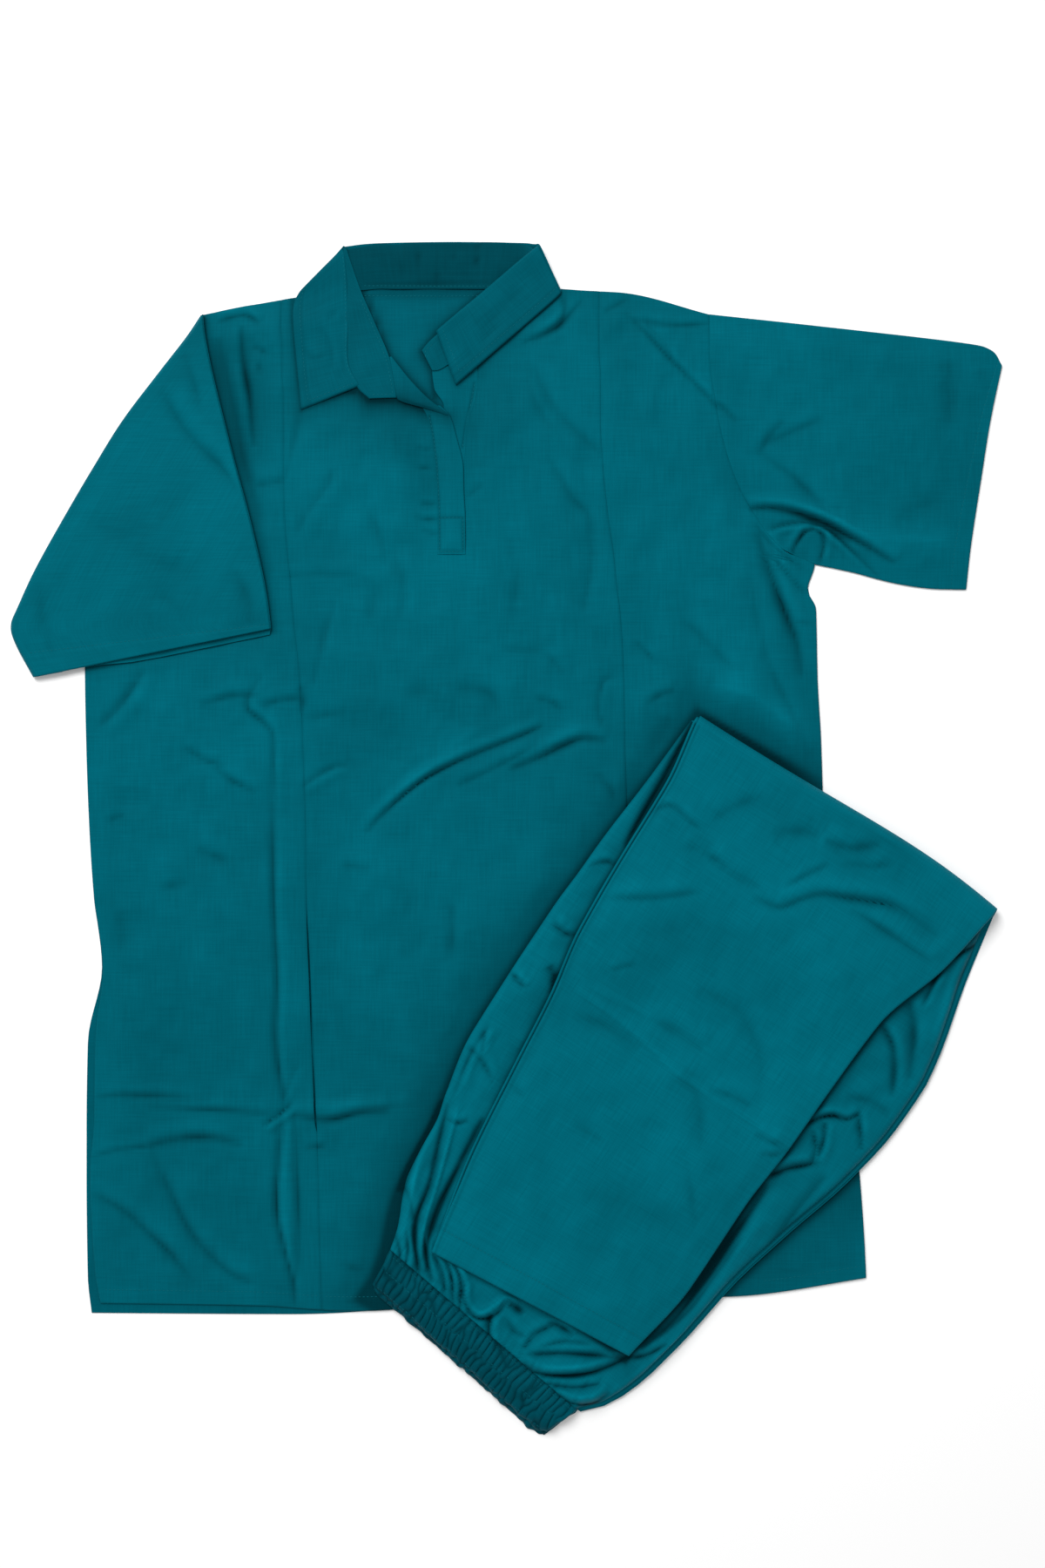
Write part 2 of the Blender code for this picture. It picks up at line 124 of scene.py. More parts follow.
def curve(points, steps=8):
    """A smooth path through the points, as an array of points."""
    p = np.array(points, float)
    if len(p) == 2:
        return p[0] + (p[1] - p[0]) * np.linspace(0, 1, 5)[:, None]
    p = np.vstack([2 * p[0] - p[1], p, 2 * p[-1] - p[-2]])
    t = np.linspace(0, 1, steps, endpoint=False)[:, None]
    out = []
    for a, b, c, d in zip(p, p[1:], p[2:], p[3:]):
        out.append(0.5 * (2 * b + (c - a) * t + (2 * a - 5 * b + 4 * c - d) * t**2
                          + (3 * b - a - 3 * c + d) * t**3))
    return np.vstack(out + [p[-2:-1]])


def on_path(path, place, end=1.0):
    """Points of a path, at places counted from 0 at its start to end at its end."""
    k = np.linspace(0, end, len(path))
    return np.stack([np.interp(place, k, path[:, 0]), np.interp(place, k, path[:, 1])], axis=-1)


def to_path(x, y, path):
    """Distance to a path, on its left counted positive, and how far along it (0 to 1)."""
    best = np.full(x.shape, 1e9)
    side = np.ones(x.shape)
    share = np.zeros(x.shape)
    count = len(path) - 1
    for k in range(count):
        (ax, ay), (bx, by) = path[k], path[k + 1]
        dx, dy = bx - ax, by - ay
        length = dx * dx + dy * dy + 1e-12
        t = np.clip(((x - ax) * dx + (y - ay) * dy) / length, 0, 1)
        gap = (x - ax - t * dx) ** 2 + (y - ay - t * dy) ** 2
        nearer = gap < best
        best = np.where(nearer, gap, best)
        side = np.where(nearer, np.sign(dx * (y - ay) - dy * (x - ax) + 1e-12), side)
        share = np.where(nearer, (k + t) / count, share)
    return np.sqrt(best) * side, share


def drawn_in(x, y, z):
    """High cloth drawn in towards the middle, so that from above it keeps its outline."""
    share = z / EYE[2]
    return mix(x, EYE[0], share), mix(y, EYE[1], share)


# ---------------------------------------------------------------- folds and uneven cloth

# A fold in the cloth: its path, its half width, its depth (a ridge if negative), and the lip that
# the cloth throws up beside it, on its left if positive and on its right if negative.
Fold = namedtuple("Fold", "path reach depth lip", defaults=(0.0,))

# Light and shade painted into the cloth's colour at its folds: darker in a fold, lighter on a ridge and
# on a fold's lip
FOLD_SHADE = 0.2  # how much darker the cloth is for each millimetre of a fold's depth
RIDGE_SHARE = 0.45  # how much lighter a ridge is, as a share of how dark a fold that deep is
# How many times deeper the folds, and the shade painted in them, are than their tables say
FRONT_GAIN, SLEEVE_GAIN, CALF_GAIN, THIGH_GAIN = 1.7, 1.25, 1.6, 2.5
STEEP, SHALLOW = 0.6, 1.1  # a fold's width towards its lip and away from it
# Painted highlight on the lip beside a fold
LIP_HIGHLIGHT = 0.32  # how much lighter a lip is, as a share of how dark its fold is
LIGHTEST = 0.5  # the most that a ridge is lighter, on the scale where 1 is the deepest shade
DEEPEST_TONE = 0.16  # how bright the cloth still is in the deepest shade


def shade(distance, *parts):
    """The shade painted at a distance from an edge, from pairs of how strong and how wide a part is."""
    return sum(strength * bell(distance, width) for strength, width in parts)


def fading(share):
    """How a fold deepens and dies away again from one end of its path to the other."""
    return np.sin(pi * np.clip(share, 0, 1)) ** 0.5


def relief(x, y, folds, gain=1.0):
    """The height that folds add to the cloth, and the shade painted into its colour there: darker in a
    fold, lighter on a ridge and on a fold's lip.
    """
    height = np.zeros(x.shape)
    depth = np.zeros(x.shape)
    for number, fold in enumerate(folds):
        path = curve(fold.path)
        margin = 6 * fold.reach
        low, high = path.min(axis=0) - margin, path.max(axis=0) + margin
        near = (x > low[0]) & (x < high[0]) & (y > low[1]) & (y < high[1])
        if not near.any():
            continue
        gap, share = to_path(x[near], y[near], path)
        fade = fading(share)
        fade *= 1 + 0.22 * np.sin(2 * pi * (1.7 * share + 0.37 * number))
        width = fold.reach * np.where(gap * fold.lip > 0, STEEP, SHALLOW)
        core = 0.4 * bell(gap, width) + 0.6 * np.exp(-np.abs(gap) / (0.6 * width))
        lip = 0.0
        if fold.lip:
            centre = 1.9 * fold.reach * np.sign(fold.lip)
            lip = abs(fold.lip) * bell(gap - centre, 1.5 * fold.reach)
        height[near] += fold.depth * fade * (lip - core)
        # Painted shade in a fold, less a painted highlight on its lip; a painted highlight on a ridge
        if fold.depth > 0:
            dark = fold.depth * (core - LIP_HIGHLIGHT * lip)
        else:
            dark = RIDGE_SHARE * fold.depth * core
        depth[near] += FOLD_SHADE * fade * dark
    return gain * height, gain * depth


def ripples(x, y, shortest, longest, seed, stretch_y=1.0):
    """Uneven undulation of about unit height, between two wavelengths."""
    rng = np.random.default_rng(seed)
    count = 26
    total = np.zeros(x.shape)
    for _ in range(count):
        length = shortest * (longest / shortest) ** rng.random()
        angle, phase = rng.random(2) * 2 * pi
        run = x * np.cos(angle) + y * np.sin(angle) / stretch_y
        total += np.sin(2 * pi * run / length + phase)
    return total * sqrt(2 / count)


def crumple(x, y, seed):
    """Faint sharp creases where cloth has been folded away and shaken out."""
    broad = 1 - np.abs(ripples(x, y, 26, 80, seed, 1.8))
    fine = 1 - np.abs(ripples(x, y, 12, 34, seed + 30, 1.8))
    return 0.3 * broad + 0.22 * fine * smooth(0.5 + 0.5 * ripples(x, y, 120, 260, seed + 60))


def rolled(distance, radius):
    """How far cloth has turned down, this far in from a folded edge."""
    inward = np.clip(radius - distance, 0, radius)
    return radius - np.sqrt(radius**2 - inward**2 + 1e-9)


# ---------------------------------------------------------------- tunic tables

Section = namedtuple("Section", "y hem_share side_left princess_left princess_right side_right")
TUNIC = [
    Section(-356, 1.0, -317, -144, 104, 280),
    Section(-330, 0.9, -321.5, -145, 103, 279),
    Section(-256, 0.6, -325, -147, 101, 274),
    Section(-218, 0.45, -322, -148, 100, 271),
    Section(-155, 0.2, -321, -151, 98, 266),
    Section(-100, 0.0, -315, -153, 97, 259),
    Section(-45, 0.0, -322, -156, 96, 253),
    Section(18, 0.0, -326, -157, 94, 247),
    Section(75, 0.0, -328, -159, 92, 245),
    Section(132, 0.0, -329, -162, 91, 242),
    Section(180, 0.0, -327, -167, 88, 241),
    Section(195, 0.0, -326, -168, 86, 234.5),
    Section(215, 0.0, -325, -170, 84, 240),
    Section(224, 0.0, -303, -171, 83, 217),
    Section(252, 0.0, -280, -173, 79, 194),
    Section(290, 0.0, -262, -174, 75, 175),
    Section(327, 0.0, -250, -174, 73, 165),
    Section(345, 0.0, -246, -174, 73, 162),
    Section(363, 0.0, -243, -175, 73, 159),
    Section(378, 0.0, -241, -175, 72, 158),
    Section(402, 0.0, -239, -176, 72, 158),
]
BACK_SIDE_LEFT = soft_line(
    [-356, -330, -256, -218, -155, -100, -45, 18, 75, 132, 180, 215, 224, 252, 290, 327, 402],
    [-324, -327, -328, -328, -327, -316, -322, -326, -328, -329, -327, -325, -303, -280, -262,
     -250, -239])
SIDE_LEFT = column(TUNIC, "side_left")
SIDE_RIGHT = column(TUNIC, "side_right")
PRINCESS_LEFT = column(TUNIC, "princess_left")
PRINCESS_RIGHT = column(TUNIC, "princess_right")
HEM_SHARE = column(TUNIC, "hem_share")
HEM = soft_line([-330, -166, 0, 175, 290], [-369, -370, -360, -356, -340])
FRONT_HEM_RISE = soft_line([-330, -200, -90, 290], [8, 7, 0, 0])
SHOULDER = soft_line([-238, -198, -118, -60, 28, 64, 90, 158],
                     [409, 417, 428.5, 430.5, 430, 428, 426.5, 409.5])
OPENING_ROWS = [PLACKET_FOOT, 252, 290, 327, 345, 363, 378, 402, TOP_ROW]
OPENING_LEFT = soft_line(OPENING_ROWS, [-50, -50.5, -52, -57, -67, -83, -94, -105, -118])
OPENING_RIGHT = soft_line(OPENING_ROWS, [-35, -35, -35, -32, -26.5, -25, -29, -2, 28])

SLEEVE_TOP_EDGE = [(158, 409.5), (246, 400), (350, 388), (377, 382), (386, 370)]
SLEEVE_UNDERSIDE = [(240, 216.5), (271, 209.5), (300, 201.5), (329, 196.5), (358, 195.3)]
SLEEVE_CUFF = [(358, 195.3), (362, 231), (370, 283), (377, 327), (386, 370)]

Turn = namedtuple("Turn", "edge fold arm")
FOLDED_SLEEVE = [
    Turn((-238, 409.5), (-239.5, 408), (-238.5, 408)),
    Turn((-236.5, 394), (-251, 391), (-243, 393)),
    Turn((-231, 366), (-272, 364), (-246.5, 370)),
    Turn((-221.5, 327), (-300, 327), (-253.5, 330)),
    Turn((-212, 290), (-323, 290), (-266, 290)),
    Turn((-203, 257), (-343, 256), (-282, 257)),
    Turn((-192.5, 213), (-367, 213), (-332, 222)),
    Turn((-187.8, 188), (-381, 183), (-350, 192)),
    Turn((-186, 174), (-387, 167), (-357, 172)),
    Turn((-185.4, 169), (-383, 152), (-356, 158)),
    Turn((-185, 165), (-369.5, 127), (-347, 131)),
]

# Trousers in a frame of their own on the knee fold: along runs down from the fold
TROUSERS_ORIGIN = np.array([265.3, 20.8])
ACROSS = np.array([np.cos(radians(-33)), np.sin(radians(-33))])
DOWN = np.array([np.sin(radians(-33)), -np.cos(radians(-33))])
Leg = namedtuple("Leg", "along slant left right")
WAIST_SLANT = -25.0
CALF = [
    Leg(448, 16, -85, 88), Leg(375, 8, -102, 99.5), Leg(300, 4, -111, 100.5),
    Leg(245, 0, -117, 105), Leg(190, 0, -126, 107), Leg(125, 0, -129.5, 111),
    Leg(60, 0, -131, 130), Leg(6, 0, -139, 139),
]
THIGH = [
    Leg(6, 0, -141, 140), Leg(60, 0, -144, 150), Leg(125, 0, -149, 165), Leg(150, 0, -150, 168),
    Leg(185, 0, -152, 167), Leg(240, 0, -152.6, 158), Leg(300, 0, -152, 141),
    Leg(360, -6, -143, 126), Leg(385, -9, -137.5, 122.4), Leg(410, -12.4, -136, 118.7),
    Leg(440, -16.7, -133, 112.5), Leg(455, -19, -129, 109),
    Leg(487, -23, -117, 96), Leg(505, WAIST_SLANT, -113, 80),
]
WAIST = [
    Leg(507, WAIST_SLANT, -113, 77), Leg(520, WAIST_SLANT, -111, 71),
    Leg(536, WAIST_SLANT, -110, 66),
]
KNEE_CENTRE = 6.0
KNEE_BULGE = 5.5
KNEE_BULGE_REACH = 60.0
KNEE_EDGE = -2
TROUSERS_END = 525
HIP = 505.0
LEG_HEM = 448.0

# ---------------------------------------------------------------- folds of the tunic's front

CHEST_FOLDS = [
    Fold([(20, 370), (35, 340), (50, 322), (65, 308), (75, 298)], 5, 0.7, 0.5),
    Fold([(15, 360), (25, 335), (40, 315)], 4, 0.5, 0.5),
    Fold([(30, 300), (40, 285), (52, 265), (62, 255), (66, 240), (66, 215), (62, 190), (60, 175)],
         4, 0.8, 0.5),
    Fold([(-18, 277), (-32, 267)], 2.5, 0.6),
    Fold([(-72, 252), (-60, 250), (-51, 251)], 1.7, 0.9, 0.6),
    Fold([(-68, 263), (-55, 261)], 1.6, 0.8, 0.5),
    Fold([(-66, 241), (-53, 238)], 1.6, 0.7, 0.5),
    Fold([(-70, 291), (-58, 289)], 1.6, 0.7, 0.5),
    Fold([(-70, 306), (-59, 304)], 1.6, 0.6, 0.5),
    Fold([(-112, 262), (-100, 240), (-94, 214)], 5, 0.6, 0.4),
    Fold([(-88, 225), (-80, 196), (-84, 170)], 5, 0.5, 0.4),
    Fold([(2, 236), (8, 205), (4, 172)], 6, 0.5, 0.4),
    Fold([(-160, 335), (-163, 320), (-168, 300), (-173, 280)], 4, 0.6, 0.5),
    Fold([(-135, 290), (-140, 275), (-155, 255), (-165, 235)], 4, 0.6, 0.5),
    Fold([(-175, 205), (-150, 207), (-115, 206)], 2.5, 0.5, 0.4),
    Fold([(-130, 195), (-140, 165), (-146, 140), (-150, 120)], 4, 0.7, 0.5),
    Fold([(-100, 200), (-108, 170)], 5, 0.5),
    Fold([(12, 387), (30, 395), (45, 405), (60, 422)], 3, 1.3, 0.5),
    Fold([(20, 388), (40, 400), (45, 412), (42, 424)], 3, 1.3, 0.5),
]
LEFT_SHOULDER_FOLDS = [
    Fold([(-226, 404), (-205, 409), (-192, 402)], 2.5, 1.6, 0.8),
    Fold([(-207, 400), (-205, 370), (-200, 340), (-197, 305)], 3.2, 2.0, -0.4),
    Fold([(-231, 392), (-224, 352), (-213, 312), (-204, 275)], 5, 1.8),
    Fold([(-198, 385), (-185, 378)], 2.5, 0.8, 0.5),
    Fold([(-195, 372), (-190, 362)], 2.5, 0.7),
    Fold([(-197, 276), (-172, 280)], 3, 0.7, 0.5),
    Fold([(-225, 392), (-216, 350), (-206, 300), (-195, 250), (-186, 205)], 5, 1.0),
]
LEFT_SIDE_FOLDS = [
    Fold([(-190, 128), (-201, 112), (-201, 101), (-190, 92), (-182, 80), (-182, 50), (-182, 20)],
         2.6, 1.5, 0.8),
    Fold([(-182, 30), (-182, -10), (-181, -60), (-179, -110), (-180, -155), (-176, -190), (-173, -206)],
         2.6, 2.1, 0.6),
    Fold([(-172, 20), (-171, -60), (-170, -140), (-167, -195)], 8, -1.2),
    Fold([(-175, -213), (-178, -250), (-179, -290), (-173, -320), (-166, -346), (-165, -364)],
         2.6, 2.3, 0.6),
    Fold([(-170, -216), (-171, -260), (-171, -300), (-168, -340)], 6, -1.3),
    Fold([(-166, -213), (-164, -260), (-163, -300), (-164, -345)], 2.3, 1.5, -0.5),
    Fold([(-167, -206), (-178, -215), (-190, -223)], 1.8, 2.2, 0.9),
    Fold([(-163, -175), (-170, -192), (-174, -204)], 2.2, 0.7, 0.5),
    Fold([(-240, 105), (-215, 112), (-193, 113)], 3, 1.0, 0.6),
    Fold([(-192, 104), (-175, 109), (-160, 110)], 3, 1.0, 0.6),
    Fold([(-161, 120), (-159, 108), (-160, 97)], 3, 1.2),
    Fold([(-282, 133), (-300, 106), (-318, 88)], 4, 1.4, 0.8),
    Fold([(-252, 73), (-235, 62), (-218, 58)], 3, 0.9, 0.6),
    Fold([(-228, 57), (-212, 45), (-195, 37)], 3, 1.1, 0.6),
    Fold([(-312, 14), (-298, 20)], 3, 0.7, 0.5),
    Fold([(-242, -7), (-215, -18)], 5, 0.9, 0.6),
    Fold([(-272, -38), (-248, -33)], 4, 0.6, 0.5),
    Fold([(-302, -55), (-301, -88)], 5, 0.6),
    Fold([(-160, 40), (-150, 48), (-135, 56), (-123, 58)], 2.6, 1.1, -0.7),
]
MIDDLE_FOLDS = [
    Fold([(-110, 5), (-100, 17), (-85, 31), (-65, 47), (-45, 58), (-25, 67), (-5, 75), (15, 83),
          (28, 89)], 2.4, 2.4, 0.7),
    Fold([(-40, 42), (-20, 51), (5, 64), (24, 75)], 2.8, 0.9, 0.6),
    Fold([(2, 55), (25, 64), (45, 74), (60, 79), (78, 77)], 3.4, 2.2, 0.8),
    Fold([(85, 125), (76, 124), (72, 110), (72, 99), (76, 86)], 2.4, 0.9, 0.6),
    Fold([(22, 111), (35, 107), (46, 99)], 3, 0.8, 0.6),
    Fold([(30, 146), (45, 129)], 4, 0.6, 0.5),
    Fold([(-5, 147), (30, 147)], 4, 0.4),
    Fold([(-38, 119), (-15, 115), (-5, 99)], 6, 0.8, 0.4),
    Fold([(-80, 115), (-50, 114)], 7, 0.5),
    Fold([(-90, 20), (-55, 62), (-15, 92)], 12, -1.3),
    Fold([(70, 52), (82, 38), (88, 22)], 4, 0.9, 0.5),
    Fold([(-130, -19), (-105, -24)], 5, 0.6, 0.5),
    Fold([(-42, -50), (-43, -95)], 4, 0.8, 0.4),
    Fold([(-160, 95), (-125, 99)], 4, 0.6, 0.4),
]
LOWER_FOLDS = [
    Fold([(-44, -196), (-58, -222), (-72, -248), (-86, -278)], 4.5, 3.2),
    Fold([(-322, -200), (-290, -199), (-230, -202)], 2.6, 1.1, 0.6),
    Fold([(-280, -208), (-215, -211), (-184, -213)], 2.4, 1.1, 0.6),
    Fold([(-326, -247), (-300, -241), (-272, -238)], 2.2, 0.9, 0.6),
    Fold([(-279, -238), (-255, -233), (-232, -232), (-205, -237)], 4.0, 1.7, 0.7),
    Fold([(-277, -243), (-262, -275), (-250, -300), (-235, -320), (-215, -338), (-196, -346)],
         4.0, 1.3, 0.7),
    Fold([(-324, -275), (-300, -288), (-280, -305), (-260, -325), (-243, -346)], 4.0, 1.3, 0.7),
    Fold([(-168, -214), (-140, -218), (-115, -213), (-90, -211)], 3.4, 1.9, 0.8),
    Fold([(-168, -208), (-120, -205), (-66, -203)], 2.4, -0.8),
    Fold([(-157, -240), (-140, -238)], 2.6, 0.9, 0.5),
    Fold([(-130, -330), (-105, -338)], 4, 0.7, 0.5),
]
RIGHT_FOLDS = [
    Fold([(98, 405), (130, 401), (158, 402)], 2.6, 1.1, 0.6),
    Fold([(75, 411), (96, 423)], 2.6, 0.9, 0.5),
    Fold([(93, 410), (110, 393), (125, 377), (140, 362), (152, 350), (167, 333)], 2.2, 1.3, 0.7),
    Fold([(108, 402), (122, 387), (131, 374)], 3.5, 0.8, 0.5),
    Fold([(196, 240), (203, 215), (212, 190), (220, 170), (227, 150), (230, 126)], 4.6, 2.6, 0.7),
    Fold([(200, 240), (212, 215), (225, 200), (234, 192)], 2.4, 1.2, 0.6),
    Fold([(190, 205), (197, 165), (205, 135), (222, 100), (236, 66)], 4, 0.7, 0.6),
    Fold([(225, 170), (241, 168)], 2.4, 0.8, 0.5),
    Fold([(135, 172), (150, 160), (165, 145), (178, 132)], 4, 0.7, 0.5),
    Fold([(100, 155), (110, 145), (117, 136)], 2.6, 0.8, 0.6),
    Fold([(108, 105), (120, 113), (131, 117)], 3, 0.9, 0.6),
    Fold([(160, 120), (190, 112), (215, 95), (240, 72)], 12, -2.6),
    Fold([(128, 95), (120, 78), (108, 62)], 8, 0.8),
]
SLEEVE_FOLDS = [
    Fold([(195, 298), (205, 315), (216, 327)], 3.5, 0.9, 0.6),
    Fold([(203, 309), (225, 319), (247, 329)], 4, 0.8, 0.6),
    Fold([(198, 301), (225, 281), (240, 266), (252, 253)], 4, 1.0, 0.6),
    Fold([(163, 342), (181, 324)], 2.4, 0.9, 0.5),
    Fold([(345, 375), (345, 320)], 7, 0.8),
    Fold([(300, 250), (330, 262), (352, 260)], 8, 0.5),
    Fold([(255, 250), (285, 236), (320, 232), (352, 236)], 9, -1.4),
    Fold([(188, 258), (205, 259), (220, 257), (236, 252), (252, 245), (266, 237), (282, 228), (303, 215)],
         2.7, 3.9, 0.75),
    Fold([(203, 257), (222, 254), (237, 249), (252, 241), (270, 231)], 2.4, 1.3, 0.4),
    Fold([(202, 240), (216, 245), (232, 247), (246, 243), (258, 235), (270, 224), (292, 203)],
         2.0, 2.2, -0.7),
    Fold([(221, 222), (226, 232), (232, 240), (239, 242)], 1.8, 2.5, 0.6),
    Fold([(236, 243), (246, 238), (247, 227), (243, 214)], 2.0, 2.8, 0.6),
    Fold([(194, 246), (205, 232), (217, 221), (236, 209)], 1.6, 1.1, 0.4),
]
FRONT_FOLDS = (CHEST_FOLDS + LEFT_SHOULDER_FOLDS + LEFT_SIDE_FOLDS + MIDDLE_FOLDS + LOWER_FOLDS
               + RIGHT_FOLDS + SLEEVE_FOLDS)

FOLDED_SLEEVE_FOLDS = [
    Fold([(-270, 352), (-255, 325), (-238, 305), (-222, 290), (-206, 266)], 5, 1.3, 0.8),
    Fold([(-252, 380), (-244, 355), (-238, 330)], 5, 0.8, 0.5),
    Fold([(-366, 202), (-362, 170), (-354, 140)], 6, 0.9),
    Fold([(-300, 230), (-270, 215), (-240, 210)], 9, 0.7),
    Fold([(-214, 212), (-203, 190), (-198, 166)], 7, 1.1, 0.5),
    Fold([(-330, 250), (-300, 240), (-275, 246)], 9, 0.5),
    Fold([(-245, 160), (-262, 185), (-285, 196)], 9, 0.5, 0.4),
    Fold([(-225, 318), (-214, 285), (-202, 248)], 6, -0.9),
]

KNEE_SIDE_FOLDS = [
    Fold([(180, 32), (230, 18), (275, 10), (335, -22)], 14, 0.6),
    Fold([(160, -12), (173, -25), (198, -38), (222, -48)], 6, 0.7, 0.4),
    Fold([(108, 17), (119, 25), (130, 26), (140, 17), (152, 7)], 2.6, 1.3, 0.8),
    Fold([(160, 14), (180, 26), (200, 34)], 6, 0.9, 0.5),
    Fold([(154, -9), (172, -23)], 4, 1.0, 0.6),
    Fold([(73, -45), (110, -46), (130, -44), (152, -41)], 3.6, 1.2, 0.7),
    Fold([(192, -45), (213, -53), (230, -47), (246, -43), (262, -45), (282, -48), (302, -52),
          (320, -63), (338, -77)], 4.2, 2.3, 0.7),
    Fold([(268, -54), (290, -68), (310, -81), (333, -97)], 3.6, 1.5, 0.7),
    Fold([(248, -1), (268, -7), (293, -4)], 5.5, 1.7, 0.6),
    Fold([(208, 4), (228, 6), (245, 2)], 8, 1.1, 0.4),
    Fold([(216, -38), (234, -28), (252, -19)], 2.6, 1.0, 0.6),
    Fold([(262, -19), (285, -21), (304, -19)], 4, 0.9, 0.5),
    Fold([(120, -5), (145, -8), (165, -2)], 6, 0.5),
    Fold([(152, 86), (180, 74), (215, 56)], 3, 0.6, 0.5),
]
SHIN_FOLDS = [
    Fold([(148, -117), (165, -124), (181, -135), (191, -151), (198, -171), (200, -193)], 9, 0.9, 0.4),
    Fold([(112, -138), (130, -149), (154, -164)], 5.5, 1.1, 0.6),
    Fold([(45, -110), (75, -131), (105, -155), (132, -181), (162, -202), (202, -226)], 2.3, -1.2),
    Fold([(58, -112), (100, -131), (122, -143)], 2.2, -0.8),
    Fold([(52, -137), (78, -146), (105, -164)], 7, 1.1, 0.3),
    Fold([(137, -182), (148, -200), (152, -225), (151, -247)], 8, 1.0, 0.4),
    Fold([(140, -250), (145, -280), (148, -303)], 4.5, 0.7, 0.4),
    Fold([(158, -195), (176, -201), (193, -209)], 4, 1.0, 0.5),
    Fold([(194, -229), (206, -236), (220, -240)], 3, 1.4, 0.7),
    Fold([(198, -245), (210, -246), (221, -241)], 2.2, 1.4, 0.6),
    Fold([(80, -102), (101, -97)], 2.0, 0.8, 0.6),
    Fold([(2, -190), (14, -202)], 4, 0.8, 0.4),
    Fold([(52, -222), (75, -236)], 6, 0.7),
    Fold([(60, -275), (110, -292), (145, -310)], 12, 0.7),
    Fold([(40, -318), (85, -322)], 10, 0.5),
    Fold([(100, -75), (150, -70), (200, -80)], 12, 0.5),
]
LEFT_STRIP_FOLDS = [
    Fold([(148, 94), (138, 76), (126, 54), (114, 32), (101, 9), (92, -6)], 3.2, 2.5),
    Fold([(-18, -217), (-38, -256), (-53, -287), (-61.5, -314), (-62, -338)], 2.4, 2.8),
    Fold([(-38, -208), (-46, -238), (-55, -270), (-64, -300), (-67, -328)], 1.8, -1.7),
    Fold([(-46, -205), (-53, -236), (-60, -268), (-70, -294), (-72, -316), (-65, -340)], 2.2, 2.4),
    Fold([(-60, -226), (-70, -256), (-76, -286), (-82, -312)], 4.0, -1.5),
    Fold([(-56, -212), (-67, -238), (-76, -262), (-84, -284)], 2.2, 1.2, 0.5),
    Fold([(-14, -146), (-28, -168), (-41, -200)], 2.0, 1.0, 0.6),
    Fold([(3, -103), (14, -116)], 2.2, 1.5, 0.6),
    Fold([(36, -64), (44, -72), (54, -75)], 2.4, 1.3, 0.6),
    Fold([(33, -98), (38, -110), (36, -121)], 3.5, 1.9),
    Fold([(-17, -148), (-19, -166)], 2.2, 0.9, 0.6),
    Fold([(-31, -160), (-20, -172), (-10, -190)], 2.6, 0.9, 0.6),
    Fold([(-47, -217), (-38, -221), (-30, -219)], 1.9, 1.2, 0.6),
    Fold([(-84, -262), (-76, -280), (-72, -298)], 3, 0.9, 0.5),
    Fold([(-90, -302), (-84, -318), (-83, -332)], 2.4, 1.2, 0.5),
    Fold([(-78, -305), (-77, -322), (-80, -334)], 2.2, 1.4, 0.5),
    Fold([(-71, -300), (-71, -322), (-68, -342)], 2.0, 1.8, 0.5),
    Fold([(64, -20), (76, -17), (88, -20)], 2.2, 1.0, 0.6),
]
WAIST_FOLDS = [
    Fold([(-65, -305), (-63, -325), (-58, -346)], 2.0, 1.9, 0.6),
    Fold([(-58, -322), (-50, -340), (-48, -358)], 2.2, 1.7, 0.7),
    Fold([(-50, -322), (-43, -342), (-42, -366)], 2.1, 2.2, 0.7),
    Fold([(-43, -327), (-36, -345), (-37, -369)], 2.0, 2.2, 0.7),
    Fold([(-33, -343), (-33, -360), (-24, -373), (-10, -371), (0, -361)], 2.0, 1.9, 0.8),
    Fold([(-24, -371), (-10, -364), (0, -357), (9, -361)], 1.7, -1.7),
    Fold([(-12, -369), (-14, -384), (-12, -398)], 2.6, 2.4, 0.6),
    Fold([(1, -362), (8, -366), (13, -371)], 2.6, 2.4),
    Fold([(-2, -372), (6, -384), (14, -388)], 3.4, 1.0, 0.5),
    Fold([(13, -398), (22, -386), (40, -377)], 2.4, 1.3, 0.6),
    Fold([(33, -376), (44, -381), (52, -388)], 2.4, 1.6, 0.5),
    Fold([(24, -396), (45, -392), (66, -394)], 2.2, 1.0, 0.6),
    Fold([(16, -402), (40, -401), (64, -402), (88, -405)], 2.8, 1.8, 0.7),
    Fold([(12, -408), (24, -416), (42, -418), (64, -416), (84, -409), (98, -401)], 2.8, 2.6, 0.8),
    Fold([(30, -424), (50, -428), (74, -425)], 2.8, 1.2, 0.6),
    Fold([(38, -433), (52, -440), (68, -439), (80, -431)], 2.2, 2.4, 0.8),
    Fold([(84, -432), (106, -414), (130, -392), (152, -371), (174, -349)], 2.1, -1.3),
    Fold([(98, -404), (110, -402), (126, -393)], 2.4, 1.7, 0.5),
]
